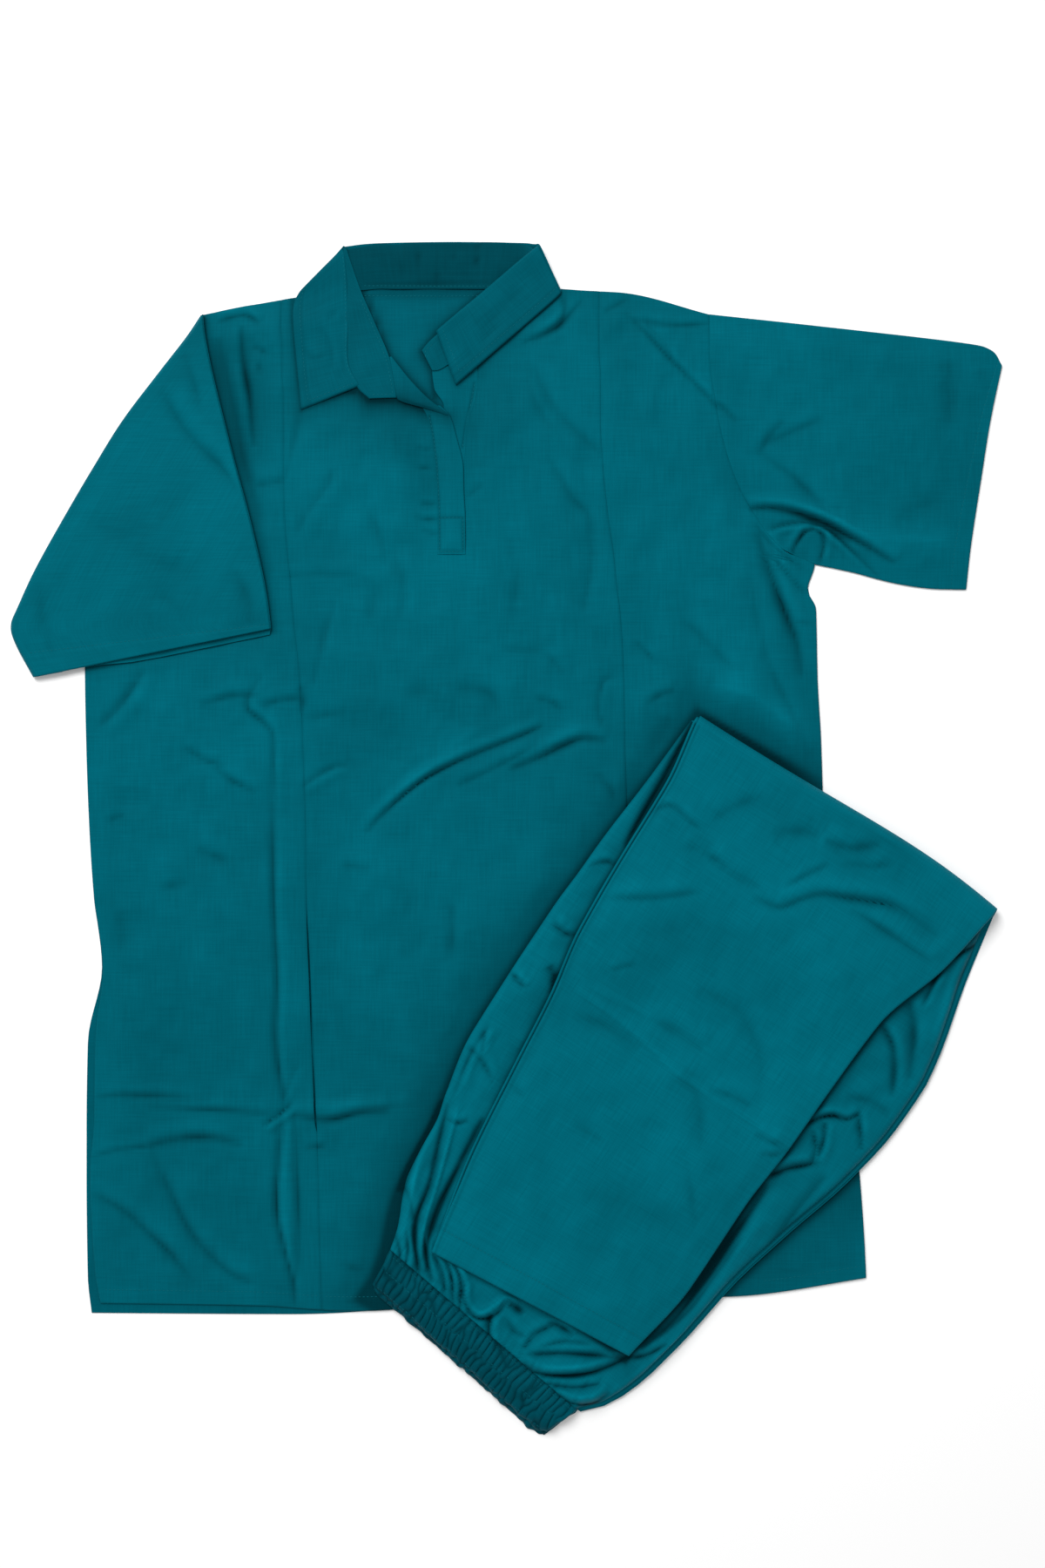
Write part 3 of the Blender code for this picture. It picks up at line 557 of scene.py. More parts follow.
RIGHT_STRIP_FOLDS = [
    Fold([(104, -398), (128, -378), (150, -350), (172, -318), (192, -288), (204, -268)], 5.0, 2.2, -0.5),
    Fold([(120, -388), (142, -368), (163, -340), (184, -310)], 2.0, 1.0),
    Fold([(205, -262), (222, -256), (245, -252)], 3.0, 2.0, 0.7),
    Fold([(233, -222), (244, -217), (255, -215), (266, -218), (276, -213)], 2.2, 2.2, 0.7),
    Fold([(239, -226), (241, -240), (238, -254)], 2.2, 1.3, 0.6),
    Fold([(249, -220), (247, -236), (242, -252)], 2.2, 1.9, 0.6),
    Fold([(274, -212), (276, -228), (277, -243)], 2.4, 1.6, 0.6),
    Fold([(292, -143), (301, -160), (303, -180), (301, -202)], 3.2, 1.7, 0.6),
    Fold([(314, -126), (318, -150), (315, -188)], 5.0, 1.4, 0.5),
    Fold([(340, -98), (333, -112), (325, -130)], 2.4, 1.4, 0.6),
    Fold([(366, -84), (354, -108), (346, -135), (336, -162)], 2.0, 1.6, -0.8),
    Fold([(348, -92), (362, -84), (374, -74)], 2.2, 1.8, 0.6),
    Fold([(265, -200), (285, -205), (300, -215)], 5, 0.8, 0.4),
    Fold([(250, -262), (226, -290), (205, -316)], 4.5, 1.1, 0.5),
]
CALF_FOLDS = KNEE_SIDE_FOLDS + SHIN_FOLDS
THIGH_FOLDS = LEFT_STRIP_FOLDS + WAIST_FOLDS + RIGHT_STRIP_FOLDS

# ---------------------------------------------------------------- where things are


def tunic_y(x, row, front=True):
    """Rows lie straight across but for the hem's slant and the shoulder's slope."""
    drop = HEM(x) + (FRONT_HEM_RISE(x) if front else 0) - HEM_ROW
    share = smooth((row - SLOPE_START) / (TOP_ROW - SLOPE_START))
    return row + side(HEM_SHARE, row) * drop + share * (SHOULDER(x) - TOP_ROW)


def side(line, row):
    """Where a side or a seam runs at a row, straight up above its own end."""
    return line(np.minimum(row, SIDE_TOP))


def body_outline():
    """The tunic's outline without its armholes: where its cloth is held down."""
    rows = np.linspace(HEM_ROW, UNDERARM_Y, 24)
    left = [(SIDE_LEFT(r), tunic_y(SIDE_LEFT(r), r)) for r in rows]
    right = [(SIDE_RIGHT(r), tunic_y(SIDE_RIGHT(r), r)) for r in rows]
    hem = [(x, tunic_y(x, HEM_ROW)) for x in np.linspace(left[0][0], right[0][0], 12)]
    shoulder = [(x, float(SHOULDER(x))) for x in np.linspace(-236, 158, 16)]
    return [left, right, hem, shoulder, SLEEVE_TOP_EDGE, SLEEVE_CUFF, SLEEVE_UNDERSIDE]


RIMS = [np.array(line, float) for line in body_outline()]
OPENING_RIM = [np.array([(side_line(r), r) for r in np.linspace(PLACKET_FOOT, TOP_ROW, 20)], float)
               for side_line in (OPENING_LEFT, OPENING_RIGHT)]


def rim_distance(x, y, rims):
    """Distance to the nearest of several paths."""
    return np.min([np.abs(to_path(x, y, rim)[0]) for rim in rims], axis=0)


def in_trousers(x, y):
    """Across and along the trousers, for points in plan."""
    across = (x - TROUSERS_ORIGIN[0]) * ACROSS[0] + (y - TROUSERS_ORIGIN[1]) * ACROSS[1]
    along = (x - TROUSERS_ORIGIN[0]) * DOWN[0] + (y - TROUSERS_ORIGIN[1]) * DOWN[1]
    return across, along


THIGH_LEFT, THIGH_RIGHT = column(THIGH, "left"), column(THIGH, "right")
THIGH_SLANT, CALF_SLANT = column(THIGH, "slant"), column(CALF, "slant")
CALF_LEFT, CALF_RIGHT = column(CALF, "left"), column(CALF, "right")


def trousers_depth(x, y):
    """How far inside the trousers' outline a point is, below zero outside it."""
    across, along = in_trousers(x, y)
    sides = [across - THIGH_LEFT(along), THIGH_RIGHT(along) - across]
    return np.min(sides + [along - KNEE_EDGE, TROUSERS_END - along], axis=0)


SLEEVE_EDGE = np.array([t.edge for t in FOLDED_SLEEVE], float)
SLEEVE_EDGE_X = soft_line(SLEEVE_EDGE[::-1, 1], SLEEVE_EDGE[::-1, 0])
CUFF_START, CUFF_END = (-185, 165), (-368, 127)


def sleeve_depth(x, y):
    """How far under the folded sleeve a point of the body is."""
    slope = (CUFF_END[1] - CUFF_START[1]) / (CUFF_END[0] - CUFF_START[0])
    cuff = CUFF_START[1] + (x - CUFF_START[0]) * slope
    return np.minimum(SLEEVE_EDGE_X(y) - x, y - cuff)


COLLAR_RIM = [np.array(line, float) for line in (
    [(-167, 421), (-167, 405), (-163, 365), (-160, 335), (-115, 352), (-107, 343), (-86, 344),
     (-46, 330)],
    [(40, 428), (24, 411), (-8, 382), (-39, 354), (-54, 393)])]
COLLAR_FOOT = np.array([(-118, 352), (-107, 343), (-86, 344), (-62, 336), (-46, 329)], float)
# Shade alone, painted into the cloth's colour with no fold: hollows of the chest and of the shoulder,
# then two places where the trousers stand off the tunic.
PAINTED_SHADE_PATCHES = [
    Fold([(-94, 322), (-80, 306), (-66, 288), (-61, 255)], 12, 0.2),
    Fold([(-224, 412), (-211, 376), (-202, 340), (-194, 290)], 20, 0.28),
    Fold([(-49, -203), (-58, -223), (-68.5, -243), (-76, -257), (-84, -275)], 3.2, 1.0),
    Fold([(150, 97), (180, 81), (216, 61), (252, 40)], 4.2, 0.5),
]


def sheltered(x, y):
    """How little light gets in beside the trousers, the folded sleeve and the collar, as shade painted
    into the cloth's colour.
    """
    from_trousers = np.clip(-trousers_depth(x, y), 0, None)
    from_sleeve = np.clip(-sleeve_depth(x, y), 0, None)
    total = shade(from_trousers, (0.55, 4.5), (0.3, 27)) + shade(from_sleeve, (0.5, 4.5), (0.16, 15))
    total += shade(rim_distance(x, y, COLLAR_RIM), (0.42, 2.4), (0.22, 11))
    total += shade(rim_distance(x, y, [COLLAR_FOOT]), (0.4, 8), (0.27, 42))
    for fold in PAINTED_SHADE_PATCHES:
        gap, share = to_path(x, y, curve(fold.path))
        total += fold.depth * bell(gap, fold.reach) * fading(share)
    return total


# How far the front takes to rise: from its rims, from round the neck, and from under the trousers
# and the folded sleeve, which press it flat
RIM_RISE, OPENING_RISE, TROUSERS_RISE, SLEEVE_RISE = 24, 30, 22, 12


def front_surface(x, y):
    """The tunic's front, as the height of its cloth, and the shade painted into its colour in its folds
    and beside what lies on it.
    """
    rim = smooth(rim_distance(x, y, RIMS) / RIM_RISE)
    opening = mix(0.25, 1, smooth(rim_distance(x, y, OPENING_RIM) / OPENING_RISE))
    trousers = 1 - smooth(1 + trousers_depth(x, y) / TROUSERS_RISE)
    sleeve = 1 - 0.95 * smooth(1 + sleeve_depth(x, y) / SLEEVE_RISE)
    folds, depth = relief(x, y, FRONT_FOLDS, FRONT_GAIN)
    loose = LOFT + 0.5 * ripples(x, y, 70, 190, 3) + 0.24 * ripples(x, y, 20, 60, 8)
    loose += crumple(x, y, 9)
    free = trousers * sleeve
    height = above_zero(free * (rim * opening * loose + mix(0.45, 1, rim) * folds), 0.16)
    return FRONT_LEVEL - 0.15 + height, depth * free + sheltered(x, y)


MOST_SETTLED = 2.6  # how far the trousers sink where they lie past the tunic


def settle(x, y):
    """How far the trousers come down towards the surface, beyond the tunic's edge."""
    outside = np.maximum(x - SIDE_RIGHT(np.minimum(y, UNDERARM_Y - 20)), HEM(x) - y)
    return -MOST_SETTLED * smooth((outside - 50) / 65)


# ---------------------------------------------------------------- making pieces


def shown(name, data):
    """An object in the scene with this name and data."""
    made = bpy.data.objects.new(name, data)
    bpy.context.collection.objects.link(made)
    return made


def mesh_of(name, bm):
    """A mesh with this name, made from an edited one, which is then let go."""
    mesh = bpy.data.meshes.new(name)
    bm.to_mesh(mesh)
    bm.free()
    return mesh


def cloth(name, across, along, place, thickness=CLOTH, opened=None):
    """A piece of cloth: a grid whose corners go where place(u, v) says, given a wall's thickness.
    place returns x, y, z, the cloth's own two directions and the shade painted into its colour. opened is
    a gap in the grid: its first and last columns, and the row from which it runs to the end."""
    columns, rows = len(across) - 1, len(along) - 1
    bm = bmesh.new()
    bmesh.ops.create_grid(bm, x_segments=columns, y_segments=rows, size=1)
    if opened:
        first, last, start = opened
        gone = []
        for face in bm.faces:
            middle = face.calc_center_median()
            i, j = int((middle.x + 1) / 2 * columns), int((middle.y + 1) / 2 * rows)
            if first <= i < last and j >= start:
                gone.append(face)
        bmesh.ops.delete(bm, geom=gone, context="FACES")
    mesh = mesh_of(name, bm)
    flat = np.empty(len(mesh.vertices) * 3)
    mesh.vertices.foreach_get("co", flat)
    flat = flat.reshape(-1, 3)
    i = np.rint((flat[:, 0] + 1) / 2 * columns).astype(int)
    j = np.rint((flat[:, 1] + 1) / 2 * rows).astype(int)
    x, y, z, warp, weft, depth = place(np.asarray(across, float)[i], np.asarray(along, float)[j])
    mesh.vertices.foreach_set("co", (np.stack([x, y, z], axis=1) * MM).ravel())
    corner = np.empty(len(mesh.loops), dtype=np.int32)
    mesh.loops.foreach_get("vertex_index", corner)
    uv = mesh.uv_layers.new(name="weave")
    uv.uv.foreach_set("vector", (np.stack([warp, weft], axis=1)[corner] * MM).ravel())
    # The light and shade painted into the cloth's colour, for its material to read
    shading = mesh.attributes.new("painted_shade", "FLOAT", "POINT")
    shading.data.foreach_set("value", np.clip(depth, -LIGHTEST, 1).astype(np.float32))
    mesh.update()
    mesh.shade_smooth()
    piece = shown(name, mesh)
    wall = piece.modifiers.new("wall", "SOLIDIFY")
    wall.thickness = thickness * MM
    wall.offset = 0
    return piece


EDGE_STEPS = (0.4, 0.9, 1.5, 2.3)


def spaced(start, end, pitch, edge=None):
    """Evenly spaced places from start to end. edge is how far in from each end closer places lie."""
    count = max(2, round(abs(end - start) / pitch))
    places = list(np.linspace(start, end, count + 1))
    if edge:
        sign = 1 if end > start else -1
        near = [start + sign * d for d in edge]
        far = [end - sign * d for d in edge]
        clear = edge[-1] * 1.4
        inner = [p for p in places if abs(p - start) > clear and abs(end - p) > clear]
        places = [start] + near + inner + far[::-1] + [end]
    return places


def finish(piece, node, material):
    """Gives a piece its material, attaches it to the root and hides the imported part that it stands for.
    """
    piece.data.materials.append(material)
    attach(piece, "root")
    if node:
        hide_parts(node)
    return piece


ABOVE_ALL = 60  # a height over every piece
MOST_SLOPE = 1.5  # a stitch whose ends differ in height by more would cross an edge


def stitches(name, piece, rows, pitch=3.2, length=2.3, width=0.46):
    """Rows of small stitches lying on a piece, each row given as a path in plan."""
    below = BVHTree.FromObject(piece, bpy.context.evaluated_depsgraph_get())
    down = Vector((0, 0, -1))
    bm = bmesh.new()
    for row in rows:
        path = curve(row)
        run = np.concatenate([[0], np.cumsum(np.linalg.norm(np.diff(path, axis=0), axis=1))])
        count = max(1, round(run[-1] / pitch))
        for k in range(count):
            ends = []
            for share in (-0.5, 0.5):
                place = (k + 0.5) * run[-1] / count + share * length
                x, y = (np.interp(place, run, path[:, axis]) for axis in (0, 1))
                ends.append(below.ray_cast(Vector((x, y, ABOVE_ALL)) * MM, down)[0])
            if None in ends or abs(ends[0].z - ends[1].z) > MOST_SLOPE * MM:
                continue
            heading = (ends[1] - ends[0]).to_track_quat("X", "Z").to_matrix().to_4x4()
            shape = Matrix.Diagonal((length / 2 * MM, width / 2 * MM, width / 2 * MM, 1))
            placed = Matrix.Translation((ends[0] + ends[1]) / 2) @ heading @ shape
            bmesh.ops.create_uvsphere(bm, u_segments=6, v_segments=4, radius=1, matrix=placed)
    mesh = mesh_of(name, bm)
    mesh.shade_smooth()
    return finish(shown(name, mesh), None, thread)


# ---------------------------------------------------------------- materials


def node(tree, kind, **settings):
    made = tree.nodes.new(kind)
    for key, value in settings.items():
        if key in made.inputs:
            made.inputs[key].default_value = value
        else:
            setattr(made, key, value)
    return made


def link(tree, source, output, target, entry):
    tree.links.new(source.outputs[output], target.inputs[entry])


def math(tree, operation, *values):
    """A Math node, each of its inputs a number or a (node, output) pair."""
    made = node(tree, "ShaderNodeMath", operation=operation)
    for entry, value in enumerate(values):
        if isinstance(value, tuple):
            tree.links.new(value[0].outputs[value[1]], made.inputs[entry])
        else:
            made.inputs[entry].default_value = value
    return made


def surface(name, settings):
    """A material whose Principled shader has these settings, and that shader."""
    material = bpy.data.materials.new(name)
    material.use_nodes = True
    shader = material.node_tree.nodes["Principled BSDF"]
    for entry, value in settings.items():
        shader.inputs[entry].default_value = value
    return material, shader


def toned(tree, shader, colour, tone):
    """Gives a shader the colour, made lighter or darker by a tone."""
    tint = node(tree, "ShaderNodeVectorMath", operation="SCALE")
    tint.inputs[0].default_value = colour
    link(tree, tone, 0, tint, "Scale")
    link(tree, tint, 0, shader, "Base Color")


def streaks(tree, uv, name, pitch, length, seed, detail=3.0):
    """Uneven yarn: noise drawn out along one direction of the weave."""
    scale = (1 / pitch, 1 / length, 1) if name == "warp" else (1 / length, 1 / pitch, 1)
    turn = node(tree, "ShaderNodeMapping", Scale=scale, Location=(seed, seed * 1.7, 0))
    link(tree, uv, "UV", turn, "Vector")
    noise = node(tree, "ShaderNodeTexNoise", Scale=1.0, Detail=detail, Roughness=0.55)
    link(tree, turn, "Vector", noise, "Vector")
    return noise


def spun_thread(name, colour):
    """Twisted sewing thread."""
    material, shader = surface(name, {"Roughness": 0.6, "Specular IOR Level": 0.1})
    tree = material.node_tree
    place = node(tree, "ShaderNodeTexCoord")
    twist = node(tree, "ShaderNodeTexNoise", Scale=900.0, Detail=2.0)
    link(tree, place, "Object", twist, "Vector")
    toned(tree, shader, colour, math(tree, "MULTIPLY_ADD", (twist, "Fac"), 0.5, 0.75))
    return material


YARN_PITCH = 0.0011
SLUB_LENGTH = 0.03
COTTON = {
    "Specular IOR Level": 0.06,
    "Specular Tint": (0.1, 0.75, 0.9, 1),
    "Sheen Weight": 0.06,
    "Sheen Roughness": 0.45,
    "Sheen Tint": (0.02, 0.6, 0.75, 1),
}


def plain_weave(name, colour, seed):
    """Plain-woven cotton: slubby yarns both ways, cloudy dye, broad random patches and a soft tinted
    sheen, with shade and highlights painted into its colour.
    """
    material, shader = surface(name, COTTON)
    tree = material.node_tree
    uv = node(tree, "ShaderNodeUVMap", uv_map="weave")
    warp = streaks(tree, uv, "warp", YARN_PITCH, SLUB_LENGTH, seed)
    weft = streaks(tree, uv, "weft", YARN_PITCH, SLUB_LENGTH, seed + 5)
    cloud = streaks(tree, uv, "warp", pitch=0.04, length=0.07, seed=seed + 9, detail=6.0)
    yarns = math(tree, "ADD", (warp, "Fac"), (weft, "Fac"))
    both = math(tree, "MULTIPLY_ADD", (yarns, 0), 0.34, 0.66)
    dye = math(tree, "MULTIPLY_ADD", (cloud, "Fac"), 0.46, 0.77)
    # Broad random patches, lighter and darker
    broad = streaks(tree, uv, "warp", pitch=0.15, length=0.19, seed=seed + 13, detail=2.0)
    broad_mottle = math(tree, "MULTIPLY_ADD", (broad, "Fac"), 0.34, 0.83)
    dye = math(tree, "MULTIPLY", (dye, 0), (broad_mottle, 0))
    tone = math(tree, "MULTIPLY", (both, 0), (dye, 0))
    # Shade and highlights painted into the colour from each piece: darker in folds and beside other
    # pieces, lighter on ridges and lips
    depth = node(tree, "ShaderNodeAttribute", attribute_name="painted_shade")
    brightest = 1 + LIGHTEST * (1 - DEEPEST_TONE)
    shaded = node(tree, "ShaderNodeMapRange",
                  **{"From Min": -LIGHTEST, "To Min": brightest, "To Max": DEEPEST_TONE})
    link(tree, depth, "Fac", shaded, "Value")
    toned(tree, shader, colour, math(tree, "MULTIPLY", (tone, 0), (shaded, 0)))
    rough = node(tree, "ShaderNodeMapRange", **{"To Min": 0.5, "To Max": 0.72})
    link(tree, cloud, "Fac", rough, "Value")
    link(tree, rough, 0, shader, "Roughness")
    threads = []
    for direction in ("X", "Y"):
        wave = node(tree, "ShaderNodeTexWave", Scale=1.0, Distortion=1.5, bands_direction=direction,
                    **{"Detail Scale": 0.5})
        fine = node(tree, "ShaderNodeMapping", Scale=(360, 360, 1))
        link(tree, uv, "UV", fine, "Vector")
        link(tree, fine, "Vector", wave, "Vector")
        threads.append(wave)
    woven = math(tree, "ADD", (threads[0], "Fac"), (threads[1], "Fac"))
    woven = math(tree, "MULTIPLY", (woven, 0), 0.5)
    relieved = math(tree, "ADD", (woven, 0), (yarns, 0))
    bump = node(tree, "ShaderNodeBump", Strength=0.35, Distance=0.00012)
    link(tree, relieved, 0, bump, "Height")
    link(tree, bump, "Normal", shader, "Normal")
    return material


TEAL = (0.0, 0.092, 0.1265)
THREAD_TEAL = (0.0, 0.112, 0.145)

tunic_cloth = plain_weave("tunic_cotton", TEAL, 1.3)
sleeve_cloth = plain_weave("sleeve_cotton", TEAL, 7.1)
collar_cloth = plain_weave("collar_cotton", (0.0, 0.0735, 0.102), 12.9)
inside_cloth = plain_weave("inside_cotton", (0.0, 0.08, 0.111), 21.7)
trouser_cloth = plain_weave("trouser_cotton", (0.0, 0.109, 0.15), 33.3)
# The waistband's cotton is darker than the trousers', in part as painted shade of its pleats
band_cloth = plain_weave("waistband_cotton", (0.0, 0.065, 0.092), 44.9)
thread = spun_thread("sewing_thread", THREAD_TEAL)

# ---------------------------------------------------------------- the tunic's body


HEM_SEWN = 1.5  # how far from a hem's upper edge its stitching runs
FRONT_HEM = 12.0
SLEEVE_HEM = 20.0
LEG_HEM_DEPTH = 19.0
# Shade painted along a seam's groove: how strong and how wide
SEAM_SHADE = (0.13, 1.3)


def seam_dip(distance, allowance=1.0):
    """The groove of a seam, and the swell over the turned-in edges beside it."""
    return -0.3 * bell(distance, 1.0) + 0.3 * allowance * bell(distance - 5, 4)


def hem_step(distance, depth, rise=0.5):
    """A turned-up hem: thicker up to its stitching, which sinks in."""
    return rise * smooth((depth - distance) / 2) - 0.3 * bell(distance - depth + HEM_SEWN, 0.9)


def front_panel(name, left, right, pitch, left_edge, right_edge, allowances=(1.0, 0.0)):
    """A front panel between two edges, each a seam, the body's folded side, or an armhole, which
    is the folded side below the underarm and a seam above it. An allowance is how much the
    turned-in edge beside a seam swells."""
    width = float(right(0.0) - left(0.0))
    across = np.array(spaced(0, width, pitch, EDGE_STEPS)) / width
    along = spaced(HEM_ROW, TOP_ROW, pitch, EDGE_STEPS)

    def place(u, row):
        a, b = side(left, row), side(right, row)
        x = mix(a, b, u)
        y = tunic_y(x, row)
        z, depth = front_surface(x, y)
        edges = zip((x - a, b - x), (left_edge, right_edge), allowances)
        for distance, edge, allowance in edges:
            folded = edge == "side"
            if edge == "armhole":
                folded = row < UNDERARM_Y
            z = np.where(folded, z - rolled(distance, 1.4), z + seam_dip(distance, allowance))
            # Painted shade along a seam, none at a folded edge
            depth += np.where(folded, 0, shade(distance, SEAM_SHADE))
        z += hem_step(row - HEM_ROW, FRONT_HEM) - rolled(row - HEM_ROW, 1.0)
        z += seam_dip(TOP_ROW - row, 0.0)
        return x, y, np.maximum(z, LOWEST_FRONT), x, y, depth

    return cloth(name, across, along, place)


POCKET_TOP, POCKET_FOOT = -30, -222


def pocket_seam_left(row):
    """The side panel's edge, drawn back a little along the pocket's mouth."""
    gape = 1.6 * smooth((POCKET_TOP - 5 - row) / 60) * smooth((row - POCKET_FOOT + 3) / 10)
    return PRINCESS_LEFT(row) - gape


def side_fronts():
    """The two panels beside the middle one, and the stitched end of the pocket's mouth."""
    left = front_panel("side_front_left", SIDE_LEFT, pocket_seam_left, 2.6, "side", "seam", (0.0, 0.2))
    finish(left, "tunic_side_front_left", tunic_cloth)
    stitches("side_front_left_stitches", left, [hem_row(-314, -147)])
    stitches("pocket_end_left", left, [[(-155, -240), (-148.6, -240.6)]], pitch=1.1, length=1.0)
    right = front_panel("side_front_right", PRINCESS_RIGHT, SIDE_RIGHT, 2.5,
                        "seam", "armhole", (0.2, 0.0))
    finish(right, "tunic_side_front_right", tunic_cloth)
    stitches("side_front_right_stitches", right, [hem_row(200, 277)])


def hem_row(start, end):
    """The path of the front hem's stitching between two x places."""
    x = np.linspace(start, end, 12)
    return np.stack([x, tunic_y(x, np.full(12, HEM_ROW + FRONT_HEM - HEM_SEWN))], axis=1)


def centre_front():
    """The middle of the front, open from the placket's foot up to and round the neck."""
    pitch = 2.35
    left_width, gap_width, right_width = 116, 25, 118
    left_steps = spaced(0, left_width, pitch, EDGE_STEPS)
    gap_steps = spaced(0, gap_width, 2.5)[1:-1]
    right_steps = spaced(0, right_width, pitch, EDGE_STEPS)
    across = [s / left_width for s in left_steps]
    across += [1 + s / gap_width for s in gap_steps]
    across += [2 + s / right_width for s in right_steps]
    below = spaced(HEM_ROW, PLACKET_FOOT, pitch, EDGE_STEPS)
    above = spaced(PLACKET_FOOT, TOP_ROW, pitch, EDGE_STEPS)[1:]

    def place(u, row):
        foot = np.maximum(row, PLACKET_FOOT)
        seam_left, seam_right = side(PRINCESS_LEFT, row), side(PRINCESS_RIGHT, row)
        gap_left, gap_right = OPENING_LEFT(foot), OPENING_RIGHT(foot)
        beyond = np.where(u < 2, mix(gap_left, gap_right, u - 1), mix(gap_right, seam_right, u - 2))
        x = np.where(u <= 1, mix(seam_left, gap_left, u), beyond)
        y = tunic_y(x, row)
        z, depth = front_surface(x, y)
        pocket = smooth((POCKET_TOP - row) / 30) * smooth((row - POCKET_FOOT) / 10)
        z += seam_dip(x - seam_left) + pocket * 0.5 * bell(x - seam_left - 1.5, 3)
        z += seam_dip(seam_right - x)
        # Painted shade along both seams
        depth += shade(np.minimum(x - seam_left, seam_right - x), SEAM_SHADE)
        z += hem_step(row - HEM_ROW, FRONT_HEM) - rolled(row - HEM_ROW, 1.0)
        return x, y, np.maximum(z, LOWEST_FRONT), x, y, depth

    opened = (len(left_steps) - 1, len(left_steps) + len(gap_steps), len(below) - 1)
    piece = cloth("centre_front", across, below + above, place, opened=opened)
    finish(piece, "tunic_centre_front", tunic_cloth)
    stitches("centre_front_stitches", piece, [hem_row(-142, -62)])
    stitches("pocket_end_right", piece, [[(-146, -240.7), (-140.5, -241)]], pitch=1.1, length=1.0)


NECK_RIM = [np.array(line, float) for line in (
    [(-126, 462), (-113, 427), (-102, 402), (-92, 377), (-76, 358), (-61, 343), (-46, 331)],
    [(27, 464), (-4, 438), (-30, 416), (-54, 395), (-66, 381), (-58, 365), (-56, 345)],
    [(-112, 431), (-10, 431)])]
NECK_SEWN_Y = 424


def back_panel():
    """The whole back, seen inside the neck and past the front at the lower left. Its grid is
    coarse but for its edges and what shows inside the neck."""
    coarse, fine, width = 8, 2.5, 570
    edge = [0, 0.5, 1.2, 2.4]
    steps = edge + spaced(8, 205, coarse) + spaced(207.5, 362, fine) + spaced(370, 562, coarse)
    across = np.array(steps + [width - step for step in edge[::-1]]) / width
    along = [HEM_ROW + step for step in edge]
    along += spaced(HEM_ROW + 8, 318, coarse) + spaced(320.5, TOP_ROW, fine)

    def place(u, row):
        a, b = side(BACK_SIDE_LEFT, row), side(SIDE_RIGHT, row)
        x = mix(a, b, u)
        y = tunic_y(x, row, front=False)
        inside = smooth(rim_distance(x, y, OPENING_RIM) / 14) * smooth((y - NECK_LOWEST) / 50)
        inside *= (x > OPENING_LEFT(y)) & (x < OPENING_RIGHT(y))
        z = BACK_LEVEL + inside * (0.5 + 0.3 * ripples(x, y, 24, 70, 17))
        # Painted shade under the neck's rims and along the neck's seam, kept only inside the neck
        depth = shade(rim_distance(x, y, NECK_RIM), (0.55, 3.5), (0.2, 12))
        depth += shade(y - NECK_SEWN_Y, (0.22, 2.2))
        return x, y, z, x, y, depth * (y > NECK_LOWEST)

    piece = cloth("back", across, along, place)
    finish(piece, "tunic_back", inside_cloth)
    stitches("neck_stitches", piece, [[(-112, 424.4), (-60, NECK_SEWN_Y), (-12, 424.4)]])


# ---------------------------------------------------------------- sleeves


def patch(u, v, bottom, top, start, end):
    """A surface in plan between four edges, each an array of points."""
    u1, v1 = u[:, None], v[:, None]
    low, high = on_path(bottom, u), on_path(top, u)
    first, last = on_path(start, v), on_path(end, v)
    corners = ((1 - u1) * (1 - v1) * bottom[0] + u1 * (1 - v1) * bottom[-1]
               + (1 - u1) * v1 * top[0] + u1 * v1 * top[-1])
    return mix(low, high, v1) + mix(first, last, u1) - corners


def outstretched_sleeve():
    """One piece, folded along its upper edge and seamed at the underarm."""
    bottom, top = curve(SLEEVE_UNDERSIDE), curve(SLEEVE_TOP_EDGE)
    cuff = curve(SLEEVE_CUFF)
    rows = np.linspace(UNDERARM_Y, TOP_ROW, 40)
    armhole = np.stack([side(SIDE_RIGHT, rows), tunic_y(side(SIDE_RIGHT, rows), rows)], axis=1)
    pitch, length, height = 1.9, 200.0, 205.0
    across = np.array(spaced(0, length, pitch, EDGE_STEPS)) / length
    front = np.array(spaced(0, height, pitch, EDGE_STEPS)) / height
    back = np.array(spaced(0, height, 12, (1.5,))) / height
    along = list(front) + [2 - t for t in back[::-1]][1:]

    def place(u, v):
        upper = v <= 1
        t = np.where(upper, v, 2 - v)
        plan = patch(u, t, bottom, top, armhole, cuff)
        x, y = plan[:, 0], plan[:, 1]
        z, depth = front_surface(x, y)
        from_cuff = (1 - u) * length
        z += seam_dip(u * length, 0.6) + hem_step(from_cuff, SLEEVE_HEM, 0.25)
        z -= rolled((1 - t) * height, 1.2) + rolled(t * height, 1.4) + rolled(from_cuff, 0.9)
        z = np.where(upper, np.maximum(z, LOWEST_FRONT), BACK_LEVEL)
        return x, y, z, x, y, depth * upper

    piece = cloth("sleeve_right", across, along, place)
    finish(piece, "tunic_sleeve_right", sleeve_cloth)
    sewn = np.full(14, 1 - (SLEEVE_HEM - HEM_SEWN) / length)
    row = patch(sewn, np.linspace(0.02, 0.98, 14), bottom, top, armhole, cuff)
    stitches("sleeve_right_stitches", piece, [row])


